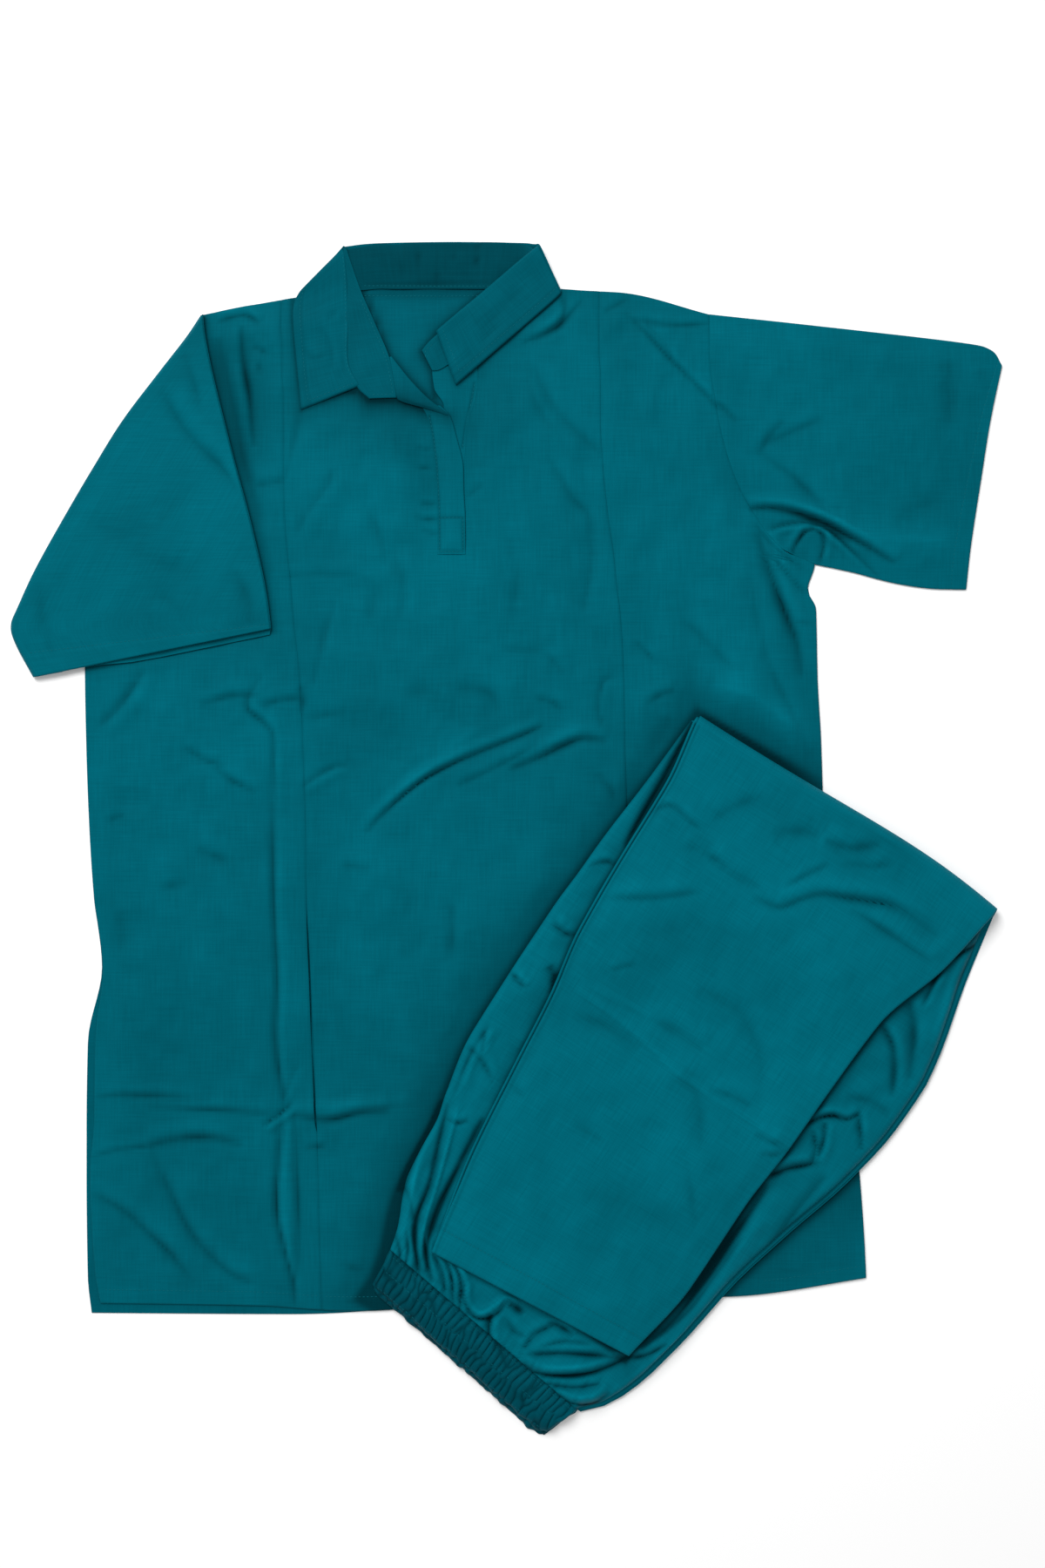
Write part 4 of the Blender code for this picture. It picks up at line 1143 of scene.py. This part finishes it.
def folded_sleeve():
    """One piece folded along its own upper edge, then turned over on the body. It goes in six
    stages from the armhole: under the arm's line, round the outer fold, over the top to the inner
    edge, round that, back below the top, and in below itself."""
    edge, fold = curve([t.edge for t in FOLDED_SLEEVE]), curve([t.fold for t in FOLDED_SLEEVE])
    arm = curve([t.arm for t in FOLDED_SLEEVE])
    length = 275.0
    across = np.array(spaced(0, length, 2.7, EDGE_STEPS)) / length
    top_face = spaced(0, 1, 0.018, (0.002, 0.005, 0.009, 0.015, 0.022))
    along = list(np.linspace(0, 0.9, 7)) + list(np.linspace(1, 2, 9))[:-1]
    along += [2 + t for t in top_face] + list(np.linspace(3, 4, 7))[1:]
    along += list(np.linspace(4.1, 5, 8)) + list(np.linspace(5.2, 6, 5))
    radius = (SLEEVE_TOP - BACK_LEVEL) / 2
    centre = (SLEEVE_TOP + BACK_LEVEL) / 2
    tight = 0.75  # the inner edge's own radius

    def place(u, v):
        e, f, a = on_path(edge, u), on_path(fold, u), on_path(arm, u)
        width = np.linalg.norm(e - f, axis=1)
        inward = (e - f) / width[:, None]
        under = (a - f) / np.linalg.norm(a - f, axis=1)[:, None]
        stage = np.clip(np.floor(v), 0, 5)
        t = v - stage
        turn = -pi / 2 + pi * t
        bottom = a + (f + under * radius - a) * t[:, None]
        outer = f + inward * (radius * (1 - np.cos(turn)))[:, None]
        span = (width - radius)[:, None]
        top = f + inward * radius + inward * (span * t[:, None])
        inner = e + inward * (tight * (np.cos(turn) - 1) + 0.6)[:, None]
        lower = e + (f + inward * radius - e) * (t[:, None] * 0.96)
        last = f + under * radius + (a - f - under * radius) * t[:, None]
        plan = np.select([(stage == k)[:, None] for k in range(6)],
                         [bottom, outer, top, inner, lower, last])
        below = (stage == 3) & (t > 0.6) | (stage >= 4)
        # Near the cuff the underside lies lower than the top, so that both of its edges show
        spare = below * smooth((u - 0.8) / 0.2) * smooth((plan[:, 0] + 338) / 60)
        plan = plan + np.array([-0.5, -5.0]) * spare[:, None]
        x, y = plan[:, 0], plan[:, 1]
        folds, depth = relief(x, y, FOLDED_SLEEVE_FOLDS, SLEEVE_GAIN)
        soft = 0.28 * ripples(x, y, 60, 150, 11) + 0.13 * ripples(x, y, 20, 50, 12)
        from_edge = np.where(stage == 2, (1 - t) * (width - radius), 0)
        from_fold = np.where(stage == 2, t * (width - radius), 0)
        calm = smooth(from_edge / 14) * smooth(from_fold / 14)
        raised = 1.3 * smooth((0.85 - u) / 0.3)
        face = SLEEVE_TOP + calm * (soft + 0.6) + mix(0.35, 1, calm) * folds
        face += raised * bell(from_edge, 18)
        cuff = (1 - u) * length
        face += hem_step(cuff, SLEEVE_HEM, 0.4) - rolled(cuff, 0.9)
        face -= rolled(from_edge, 1.2) * (stage == 2)
        edge_z = SLEEVE_TOP + raised - 1.2
        z = np.select([stage == k for k in range(6)], [
            np.full(x.shape, BACK_LEVEL),
            centre + radius * np.sin(turn),
            face,
            edge_z - tight * (1 - np.cos(pi * t)) * 0.9,
            mix(edge_z - 1.35, SLEEVE_TOP - 2.2, smooth(t / 0.2)),
            mix(SLEEVE_TOP - 3.4, BACK_LEVEL + PLY, smooth(t * 2)),
        ])
        run = np.select(
            [stage == k for k in range(6)],
            [t * 30 - 60, t * 12 - 30, t * width, width + 3 * t, 2 * width - t * width, -t * 30])
        x, y = drawn_in(x, y, z)
        # Painted shade, growing towards the sleeve's top
        depth += 0.14 * smooth((y - 310) / 80)
        return x, y, z, run, u * length, depth * (stage == 2)

    piece = cloth("sleeve_left", across, along, place)
    finish(piece, "tunic_sleeve_left", sleeve_cloth)
    sewn = np.array([1 - (SLEEVE_HEM - HEM_SEWN) / length])
    ends = [on_path(path, sewn)[0] for path in (fold, edge)]
    row = [mix(ends[0], ends[1], t) for t in (0.04, 0.5, 0.99)]
    stitches("sleeve_left_stitches", piece, [row])


# ---------------------------------------------------------------- placket and collar

Strip = namedtuple("Strip", "y left right")
PLACKET_UNDER = [
    Strip(225, -50, -33.5), Strip(252, -50, -33.5), Strip(290, -51, -33.2),
    Strip(309, -50, -31.8), Strip(327, -50, -29.6), Strip(338, -49, -26),
    Strip(352, -56.5, -22.8), Strip(366, -58, -23), Strip(374, -56, -26),
]
PLACKET_OVER = [
    Strip(222.5, -54, -32.4), Strip(252, -54, -32.8), Strip(272, -55, -33.8), Strip(290, -56, -34.2),
    Strip(312, -58.5, -39), Strip(330, -62, -44.5), Strip(338, -66, -52),
]
TURNBACK = [
    Strip(330.6, -46.6, -45.6), Strip(336, -62, -52), Strip(343.6, -85.2, -61.5),
    Strip(358, -87.8, -75.5), Strip(376, -91, -90),
]


STRIP_EDGE = (0.3, 0.7, 1.2)


def strip(name, rows, lift, crown, thickness, edge_radius, flush=0.0, sewn_lines=()):
    """A strip of cloth on the front, lift above it, its edges turned in. flush is how much of
    the lift its left and lower edges lose where they are sewn down."""
    left, right = column(rows, "left"), column(rows, "right")
    start, end = rows[0].y, rows[-1].y
    width = 26
    across = np.array(spaced(0, width, 1.2, STRIP_EDGE)) / width
    along = spaced(start, end, 1.5, STRIP_EDGE)
    seams = [np.array(line, float) for line in sewn_lines]

    def place(u, row):
        a, b = left(row), right(row)
        x = mix(a, b, u)
        z, depth = front_surface(x, row)
        edge = np.min([x - a, b - x, row - start, end - row], axis=0)
        sewn = np.minimum(x - a, row - start)
        z = z + lift * (1 - flush * (1 - smooth(sewn / 12))) + crown * smooth(edge / 8)
        z -= rolled(edge, edge_radius)
        # Half the front's painted shade, and painted shade in the grooves of the stitched lines
        depth = 0.5 * depth
        if seams:
            seam = bell(rim_distance(x, row, seams), 1.2)
            z -= 0.4 * seam
            depth += 0.38 * seam
        return x, row, z, x, row, depth

    return cloth(name, across, along, place, thickness)


def placket():
    """The opening's two strips, and the top of the left front turned back beside the collar."""
    under_line = [(-25, 356), (-28.5, 338), (-32, 322), (-34.5, 306)]
    under = strip("placket_under", PLACKET_UNDER, lift=0.15, crown=0.1, thickness=0.8,
                  edge_radius=0.3, sewn_lines=[under_line])
    finish(under, "tunic_placket_under", tunic_cloth)
    stitches("placket_under_stitches", under, [under_line])
    rows = [[(-52.4, 226), (-52.4, 252), (-53.4, 272), (-54.4, 290), (-57, 312), (-60.4, 330)],
            [(-52.4, 224.6), (-34, 224.6)], [(-52.4, 251), (-34.4, 251)], [(-34, 226), (-34.4, 250)]]
    over = strip("placket_over", PLACKET_OVER, lift=OVER + 0.1, crown=0.2, thickness=1.1,
                 edge_radius=0.5, flush=0.7, sewn_lines=rows)
    finish(over, "tunic_placket_over", tunic_cloth)
    stitches("placket_over_stitches", over, rows)
    back = strip("front_turnback", TURNBACK, lift=OVER + 0.7, crown=0.8, thickness=1.0,
                 edge_radius=0.6)
    finish(back, "tunic_front_turnback", inside_cloth)


# A station of the stand: its two edges in plan, what it lies on, and how far its crest rises
Band = namedtuple("Band", "neck crest base rise")
ON_FRONT, ON_BACK = 1.0, 0.0
STATION_LENGTH = 25  # about how far apart the collar's stations are
COLLAR_STAND = [
    Band((-86.2, 344.3), (-106.5, 343.5), ON_FRONT, 0.0),
    Band((-87.8, 358), (-116.5, 353), ON_FRONT, 0.0),
    Band((-92.0, 377), (-125.5, 372), ON_FRONT, 0.0),
    Band((-102.5, 402), (-126.0, 400), ON_FRONT, 0.0),
    Band((-113.5, 427), (-126.5, 432), ON_FRONT, 0.0),
    Band((-120.6, 447), (-127, 452), ON_FRONT, 0.0),
    Band((-125.6, 460), (-126.6, 461.2), ON_FRONT, 0.0),
    Band((-122, 431), (-125.5, 461.2), ON_BACK, 1.0),
    Band((-96, 429.5), (-100, 464), ON_BACK, 2.4),
    Band((-44, 429.5), (-44, 465), ON_BACK, 2.6),
    Band((6, 429.5), (8, 464), ON_BACK, 2.6),
    Band((26, 432), (20, 456), ON_FRONT, 1.0),
    Band((18, 421), (-4, 435), ON_FRONT, 0.4),
    Band((-20, 388), (-38, 406), ON_FRONT, 0.3),
    Band((-49, 368), (-58, 390), ON_FRONT, 0.2),
    Band((-58, 365.3), (-66, 381), ON_FRONT, 0.0),
]
LEFT_TURN = 6.4  # where the stand goes round to the back on the left, counted in stations
STAND_FOLDS = [
    Fold([(-43, 466), (-41, 450)], 1.8, 0.7, 0.6),
    Fold([(-56, 447), (-52, 430)], 1.8, 0.7, 0.6),
    Fold([(-5, 451), (-3, 430)], 2.2, 0.8, 0.6),
    Fold([(-23, 464), (-24, 455), (-22, 444)], 2.0, 1.2, 0.5),
    Fold([(-70, 461), (-67, 446)], 2.4, 0.6, 0.5),
    Fold([(-31, 445), (-29, 432)], 1.8, 0.6, 0.5),
    Fold([(-112, 433), (-70, 433), (-15, 434)], 1.4, 0.9),
    Fold([(-86, 455), (-80, 440)], 2.4, 0.4, 0.5),
]
FALL_FOLDS = [
    Fold([(-150, 350), (-146, 385), (-150, 418)], 7, 0.6),
    Fold([(-130, 412), (-140, 405)], 2.2, 0.8, 0.5),
    Fold([(-158, 384), (-150, 374), (-141, 378)], 2.4, 0.7, 0.5),
    Fold([(-143, 398), (-136, 380), (-138, 360)], 3, 0.7, 0.5),
    Fold([(-2, 402), (-14, 392), (-22, 380)], 3, 0.6, 0.5),
    Fold([(12, 430), (-2, 416), (-20, 396)], 5, 0.7),
    Fold([(-38, 372), (-22, 380)], 4, 0.5),
    Fold([(-128, 358), (-127, 385), (-127, 412)], 1.4, 0.8),
]


def stations(rows, across, along, edges):
    """Points in plan on a strip that runs through the rows' two edges."""
    paths = [curve([getattr(row, edge) for row in rows], 12) for edge in edges]
    first, last = (on_path(path, along, len(rows) - 1) for path in paths)
    return mix(first, last, across[:, None])


def station_value(rows, along, name):
    """A named value of the rows, between its values at the stations."""
    return np.interp(along, np.arange(len(rows)), [getattr(row, name) for row in rows])


def collar_stand():
    """The band that stands round the neck, laid open on the back and the front."""
    height = 33
    across = spaced(0, 1, 0.055, (0.012, 0.028))
    along = np.linspace(0, len(COLLAR_STAND) - 1, 190)

    def place(u, v):
        plan = stations(COLLAR_STAND, u, v, ("neck", "crest"))
        x, y = plan[:, 0], plan[:, 1]
        share = station_value(COLLAR_STAND, v, "base")
        rise = station_value(COLLAR_STAND, v, "rise")
        front, _ = front_surface(x, y)
        base = mix(BACK_LEVEL + PLY, front + OVER - 0.2, smooth(share))
        folds, depth = relief(x, y, STAND_FOLDS)
        z = base + rise * smooth(u * 1.3) + folds + 0.12 * ripples(x, y, 14, 40, 21)
        z -= rolled((1 - u) * 30, 1.2)
        # Painted shade: darker on the back inside the neck, a little darker all over, darkest where the
        # stand turns on the left
        depth += 0.42 * (1 - smooth(share)) + 0.1 + 0.35 * bell(v - LEFT_TURN, 0.5)
        return x, y, z, v * STATION_LENGTH, u * height, depth

    piece = cloth("collar_stand", across, along, place, 1.3)
    finish(piece, "tunic_collar_stand", collar_cloth)
    rows = [[(-88.8, 347), (-90.5, 358), (-95, 377), (-105.5, 402), (-114, 421)],
            [(-89, 347), (-105, 346.4)], [(-112, 432), (-60, 431.8), (-10, 431.6)],
            [(-61, 368.5), (-63.5, 380), (-57.5, 386)]]
    stitches("collar_stand_stitches", piece, rows)


# A station of the fall: its two edges in plan, and what it lies on: 0 behind the stand, 1 on the
# front, 2 on the front and the stand
Fall = namedtuple("Fall", "crest free base")
COLLAR_FALL = [
    Fall((-115, 353.5), (-160, 335), 1.0),
    Fall((-123.6, 372), (-162.5, 362), 1.0),
    Fall((-124.2, 400), (-165.3, 392), 1.0),
    Fall((-124.8, 434), (-166.5, 412), 1.0),
    Fall((-126.6, 455), (-163.5, 423), 1.0),
    Fall((-127.6, 460.8), (-157, 431), 0.5),
    Fall((-122, 462.4), (-148, 434), 0.0),
    Fall((-100, 464.5), (-100, 434), 0.0),
    Fall((-44, 465.5), (-44, 434), 0.0),
    Fall((8, 464.8), (8, 434), 0.0),
    Fall((20, 464), (32, 434), 0.0),
    Fall((25, 462.6), (41, 428), 1.0),
    Fall((21, 459), (40, 424), 2.0),
    Fall((-4, 438.5), (25, 410.5), 2.0),
    Fall((-30, 416.5), (-8, 382), 2.0),
    Fall((-54.5, 395.5), (-39.8, 354.5), 2.0),
]
RIGHT_FALL = 10.5  # where the fall comes forward again on the right, counted in stations


def collar_fall():
    """The collar itself, turned down over its stand."""
    height = 36
    across = spaced(0, 1, 0.05, (0.01, 0.024, 0.042))
    along = np.linspace(0, len(COLLAR_FALL) - 1, 230)

    def place(u, v):
        plan = stations(COLLAR_FALL, u, v, ("crest", "free"))
        x, y = plan[:, 0], plan[:, 1]
        share = station_value(COLLAR_FALL, v, "base")
        front, _ = front_surface(x, y)
        behind = BACK_LEVEL + 3.6 * bell(u, 0.16)
        laid = front + OVER + 0.5 * np.sin(pi * u) + 0.25 * ripples(x, y, 30, 80, 31)
        over = front + 2 * OVER + 0.6 + 1.3 * smooth((1 - u) * 1.2)
        over += 0.25 * ripples(x, y, 30, 80, 32)
        to_front = mix(behind, laid, smooth(share))
        z = np.where(share < 1, to_front, mix(laid, over, smooth(share - 1)))
        turned = (v > RIGHT_FALL - 1) & (v < RIGHT_FALL + 1)
        z = np.where(turned, mix(behind, over, smooth((v - RIGHT_FALL + 0.8) / 1.8)), z)
        folds, depth = relief(x, y, FALL_FOLDS)
        from_free = (1 - u) * height
        z += folds * smooth(share) - rolled(u * height, 1.4) * (v > RIGHT_FALL)
        z -= rolled(from_free, 0.9)
        # Painted shade along the row of stitching and at the free edge
        depth += shade(from_free - 4.7, (0.22, 1.3)) + shade(from_free, (0.2, 1.6))
        ends = np.minimum(v, len(COLLAR_FALL) - 1 - v) * STATION_LENGTH
        z = np.maximum(z - rolled(ends, 0.9), 0.75)
        return x, y, z, v * STATION_LENGTH, u * height, depth * smooth(share)

    piece = cloth("collar_fall", across, along, place, 1.4)
    finish(piece, "tunic_collar_fall", collar_cloth)

    def row(places, shares):
        """A row between two places along the collar and two shares of its height."""
        places, shares = np.linspace(*places, 10), np.linspace(*shares, 10)
        return stations(COLLAR_FALL, shares, places, ("crest", "free"))

    top, free = 0.06, 0.87
    first, last = 0.17, len(COLLAR_FALL) - 1.16
    rows = [row((first, 4.6), (free, free)), row((first, first), (top, free)),
            row((RIGHT_FALL + 1, last), (free, free)), row((last, last), (top, free)),
            row((0.3, 4.4), (0.03, 0.03))]
    stitches("collar_fall_stitches", piece, rows)


# ---------------------------------------------------------------- trousers


def leg_plan(across_share, along, left, right, slant):
    """Points in plan on the trousers, whose edge at the knee bulges a little."""
    across = mix(left, right, across_share)
    swing = KNEE_BULGE * np.sin(pi * across_share**2) * smooth(1 - along / KNEE_BULGE_REACH)
    down = along + slant * (1 - across_share) - swing
    plan = TROUSERS_ORIGIN + ACROSS * across[:, None] + DOWN * down[:, None]
    return plan[:, 0], plan[:, 1]


def pleats(run, row, shortest, longest, seed, lean=0.5):
    """Uneven pleats along the rows, rounded, with sharp creases between them."""
    rng = np.random.default_rng(seed)
    total = np.zeros(run.shape)
    count = 12
    for _ in range(count):
        length = shortest * (longest / shortest) ** rng.random()
        slant, phase = (rng.random() - 0.5) * lean, rng.random() * 2 * pi
        total += np.sin(2 * pi * (run + slant * row) / length + phase)
    return np.minimum(np.abs(total) * sqrt(2 / count), 1.3) ** 0.65


def gathers(across, reach, seed):
    """Pleats drawn up by the elastic, dying away at their own distances."""
    length = 10 + 20 * (0.5 + 0.5 * np.sin(across / 11 + seed)) ** 2
    return pleats(across, reach, 9, 22, seed, 0.3) * np.exp(-((reach / length) ** 1.4))


def beside_calf(across, along):
    """How little light gets in beside the lower leg, on the thigh that it lies on, as shade painted into
    the cloth's colour.
    """
    past_sides = np.maximum(CALF_LEFT(along) - across, across - CALF_RIGHT(along))
    outside = np.clip(np.maximum(past_sides, along - LEG_HEM - 6), 0, None)
    return shade(outside, (0.6, 2.6), (0.26, 12))


Inset = namedtuple("Inset", "thigh_left calf_left thigh_right calf_right")
LEG_WIDTH = 290.0
THIGH_FACE = THIGH_BOTTOM + PLY + 1.1  # as far as the thigh's folds sink


def leg(name, thigh_z, calf_z, inset, columns, thigh_rows, calf_rows, relief_on):
    """A layer of a leg: the thigh lies below, and the calf comes back over it round the knee.
    inset is how far each of its edges is drawn in. relief_on says which face of it shows."""
    radius = (calf_z - thigh_z) / 2
    centre = (calf_z + thigh_z) / 2
    bend = pi * radius
    start = HIP - KNEE_CENTRE
    across = np.array(columns) / LEG_WIDTH
    runs = [start - (a - KNEE_CENTRE) for a in thigh_rows]
    runs += list(start + np.linspace(0, bend, 9)[1:])
    runs += [start + bend + (a - KNEE_CENTRE) for a in calf_rows[1:]]

    def place(u, run):
        on_thigh, on_calf = run <= start, run >= start + bend
        share = np.clip((run - start) / bend, 0, 1)
        angle = -pi / 2 + pi * share
        past_knee = np.where(on_calf, KNEE_CENTRE + run - start - bend,
                             KNEE_CENTRE - radius * np.cos(angle))
        along = np.where(on_thigh, HIP - run, past_knee)
        square = smooth((LEG_HEM - along) / 60)
        left = mix(THIGH_LEFT(along) + inset.thigh_left,
                   CALF_LEFT(along) + inset.calf_left * square, share)
        right = mix(THIGH_RIGHT(along) - inset.thigh_right,
                    CALF_RIGHT(along) - inset.calf_right * square, share)
        slant = mix(THIGH_SLANT(along), CALF_SLANT(along), share)
        x, y = leg_plan(u, along, left, right, slant)
        z = centre + radius * np.sin(angle)
        width = right - left
        edge = np.minimum(u, 1 - u) * width
        calm = smooth(edge / 16)
        depth = np.zeros(x.shape)
        if relief_on == "calf":
            folds, deep = relief(x, y, CALF_FOLDS, CALF_GAIN)
            swell = 0.8 * ripples(x, y, 80, 220, 41) + 0.25 * ripples(x, y, 24, 70, 42)
            swell += crumple(x, y, 45) + 1.1
            hem = LEG_HEM - along
            ends = smooth(along / 24) * mix(0.3, 1, smooth(hem / 40))
            lift = calm * ends * swell + mix(0.35, 1, calm) * folds * smooth(along / 10)
            lift += hem_step(hem, LEG_HEM_DEPTH, 0.35) - rolled(hem, 1.1)
            z = np.where(on_calf, z + lift, z)
            z -= rolled(edge, 1.6) * share
            # Painted shade: the folds', along the hem's stitching, and in a line near the left edge
            sewn = shade(hem - LEG_HEM_DEPTH + HEM_SEWN, (0.1, 1.4))
            depth = on_calf * (0.75 * deep + sewn + shade(u * width - 2.4, (0.3, 0.9)))
        elif relief_on == "calf_under":
            z -= rolled(edge, 1.2) * share
            # Painted shade on this lower layer, deepening in from its left edge where the calf's top
            # layer covers it
            depth = on_calf * 0.85 * smooth((u * width - 0.6) / 1.4)
        elif relief_on == "thigh":
            folds, deep = relief(x, y, THIGH_FOLDS, THIGH_GAIN)
            position = mix(left, right, u)
            covered = np.minimum(position - CALF_LEFT(along), CALF_RIGHT(along) - position)
            outside = 1 - smooth((covered - 4) / 8)
            outside = np.maximum(outside, smooth((along - LEG_HEM + 16) / 10))
            swell = 0.7 * ripples(x, y, 40, 110, 43) + 0.3 * ripples(x, y, 16, 45, 44)
            swell += crumple(x, y, 47)
            drawn = 1.7 * gathers(position, HIP - along, 51)
            lift = outside * (calm * swell + mix(0.5, 1, calm) * folds + drawn)
            z = np.where(on_thigh, THIGH_FACE + above_zero(z + lift - THIGH_FACE, 0.3), z)
            z -= rolled(edge, 3.8) * (1 - share)
            # Painted shade of the thigh's folds, and beside the lower leg
            depth = deep * on_thigh * outside + on_thigh * beside_calf(position, along)
        z = np.maximum(z + settle(x, y), LOWEST)
        x, y = drawn_in(x, y, z)
        return x, y, z, mix(left, right, u), run, depth

    return cloth(name, across, runs, place)


def rows_between(*stops):
    """Places along a leg, from pairs of where a stretch ends and the pitch on the way to it."""
    places = [stops[0]]
    for end, pitch in stops[1:]:
        count = max(1, round(abs(end - places[-1]) / pitch))
        places += list(np.linspace(places[-1], end, count + 1))[1:]
    return places


def trouser_legs():
    """Three layers of cloth, each going round the knee fold inside the one before."""
    coarse_thigh = rows_between(HIP, (KNEE_CENTRE, 14))
    fine_calf = rows_between(KNEE_CENTRE, (440, 2.3), (LEG_HEM, 0.8))
    coarse_calf = rows_between(KNEE_CENTRE, (430, 9), (445, 3))
    outer = leg("outer_leg_back", THIGH_BOTTOM, CALF_TOP, Inset(3, 2.8, 0, 0),
                spaced(0, LEG_WIDTH, 2.2, EDGE_STEPS), coarse_thigh, fine_calf, "calf")
    finish(outer, "trousers_outer_leg_back", trouser_cloth)
    row = np.linspace(0.012, 0.988, 16)
    along = np.full(16, LEG_HEM - LEG_HEM_DEPTH + HEM_SEWN)
    x, y = leg_plan(row, along, CALF_LEFT(along), CALF_RIGHT(along), CALF_SLANT(along))
    x, y = drawn_in(x, y, CALF_TOP)
    stitches("leg_hem_stitches", outer, [np.stack([x, y], axis=1)])
    front = leg("outer_leg_front", THIGH_BOTTOM + PLY, CALF_UNDER, Inset(2.4, 0, 1.5, 1.5),
                spaced(0, LEG_WIDTH, 6, EDGE_STEPS + (3.4,)), coarse_thigh, coarse_calf, "calf_under")
    finish(front, "trousers_outer_leg_front", trouser_cloth)
    fine_thigh = rows_between(HIP, (420, 1.6), (KNEE_CENTRE, 2.5))
    strips = spaced(0, 48, 1.4, EDGE_STEPS) + spaced(51, 213, 2.9)
    strips += spaced(214.5, LEG_WIDTH, 1.4, EDGE_STEPS)
    inner = leg("inner_leg", THIGH_TOP, CALF_UNDER - 1.6, Inset(0, 4, 5, 2.5), strips, fine_thigh,
                rows_between(KNEE_CENTRE, (440, 14)), "thigh")
    finish(inner, "trousers_inner_leg", trouser_cloth)


WAIST_LEFT, WAIST_RIGHT = column(WAIST, "left"), column(WAIST, "right")
WAIST_START, WAIST_END = WAIST[0].along, WAIST[-1].along
MIDDLE_ROW = 0.47  # where the casing's middle row of stitching runs, as a share of its depth


def waistband(name, base, puff, shift, seed, columns):
    """The elastic casing: drawn up in small pleats between its rows of stitching."""
    start, end = WAIST_START, WAIST_END
    across = np.linspace(0, 1, columns)
    along = spaced(start - 6, end, 1.2, (0.4, 0.9, 1.5))

    def place(u, row):
        a, b = WAIST_LEFT(row), WAIST_RIGHT(row)
        run = mix(a, b, u)
        edge = np.minimum(u, 1 - u) * 180
        reach = np.clip((row - start) / (end - start), 0, 1)
        uneven = mix(1.7, 0.42, reach) * ripples(run, 0 * run, 6, 24, seed + 6)
        rounded = 3.2 * bell(edge, 3.5) * reach
        down = row + shift * smooth((row - start) / 20) + uneven - rounded
        x, y = leg_plan(u, down, a, b, WAIST_SLANT)
        share = (row - start) / (end - start) + 0.03 * ripples(run, 0 * run, 25, 70, seed)
        inner, outer = (pleats(run, row, 8, 19, seed + k, 0.9) for k in (1, 2))
        drawn = mix(inner, outer, smooth((share - MIDDLE_ROW) / 0.06))
        channel = np.abs(np.sin(pi * np.clip(share * 2, 0, 2)))
        z = base + puff * channel**0.6 + 2.1 * drawn * mix(0.6, 1.0, channel)
        z += 0.5 * ripples(x, y, 18, 50, seed + 3)
        z -= rolled(end - row, 2.2) + rolled(edge, 1.6)
        z = np.maximum(z + settle(x, y), LOWEST)
        # Painted shade in the creases between the pleats, and towards the casing's outer edge
        depth = 0.7 * np.clip(0.82 - drawn, 0, 1) + 0.22 * smooth((share - 0.45) / 0.15)
        x, y = drawn_in(x, y, z)
        return x, y, z, run * 1.4, row, depth

    piece = cloth(name, across, along, place, 1.0)
    return finish(piece, None, band_cloth)


def waist_row(share):
    """A row of stitching along the waistband, at a share of its depth."""
    row = np.linspace(0.02, 0.98, 14)
    along = np.full(14, mix(WAIST_START, WAIST_END, share))
    x, y = leg_plan(row, along, WAIST_LEFT(along), WAIST_RIGHT(along), WAIST_SLANT)
    return np.stack(drawn_in(x, y, 8.0), axis=1)


def waistbands():
    upper = waistband("waistband_upper", 7.4, 1.2, 0.0, 61, 280)
    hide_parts("trousers_waistband_upper")
    rows = [waist_row(share) for share in (0.04, MIDDLE_ROW, 0.93)]
    stitches("waistband_stitches", upper, rows)
    lower = waistband("waistband_lower", 3.9, 0.6, 2.5, 62, 150)
    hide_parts("trousers_waistband_lower")


# ---------------------------------------------------------------- floor, light and camera


def floor():
    """The pale sheet that everything lies on."""
    bm = bmesh.new()
    bmesh.ops.create_grid(bm, x_segments=1, y_segments=1, size=4)
    piece = shown("floor", mesh_of("floor", bm))
    pale = {"Base Color": (0.96, 0.96, 0.96, 1), "Roughness": 0.9, "Specular IOR Level": 0.0}
    material, _ = surface("pale_paper", pale)
    piece.data.materials.append(material)


def light(name, place, size, power):
    """A round soft light, turned to the middle of the set."""
    lamp = bpy.data.lights.new(name, "AREA")
    lamp.shape = "DISK"
    lamp.size = size
    lamp.energy = power
    lit = shown(name, lamp)
    lit.location = place
    lit.rotation_euler = (-Vector(place)).to_track_quat("-Z", "Y").to_euler()


def studio():
    """Even light from all round, one soft window, and a camera straight above."""
    world = bpy.data.worlds.new("studio")
    bpy.context.scene.world = world
    world.use_nodes = True
    sky = world.node_tree.nodes["Background"]
    sky.inputs["Color"].default_value = (1, 1, 1, 1)
    sky.inputs["Strength"].default_value = 0.6
    light("window", (-0.8, 1.5, 2.2), 1.7, 67)
    camera = bpy.data.cameras.new("camera")
    camera.lens = 50
    camera.sensor_width = 36
    camera.clip_end = 50
    seen = shown("camera", camera)
    seen.location = Vector(EYE) * MM
    bpy.context.scene.camera = seen
    bpy.context.scene.view_settings.view_transform = "Standard"
    bpy.context.scene.view_settings.look = "None"


floor()
back_panel()
side_fronts()
centre_front()
outstretched_sleeve()
folded_sleeve()
placket()
collar_stand()
collar_fall()
trouser_legs()
waistbands()
studio()

bpy.context.view_layer.update()
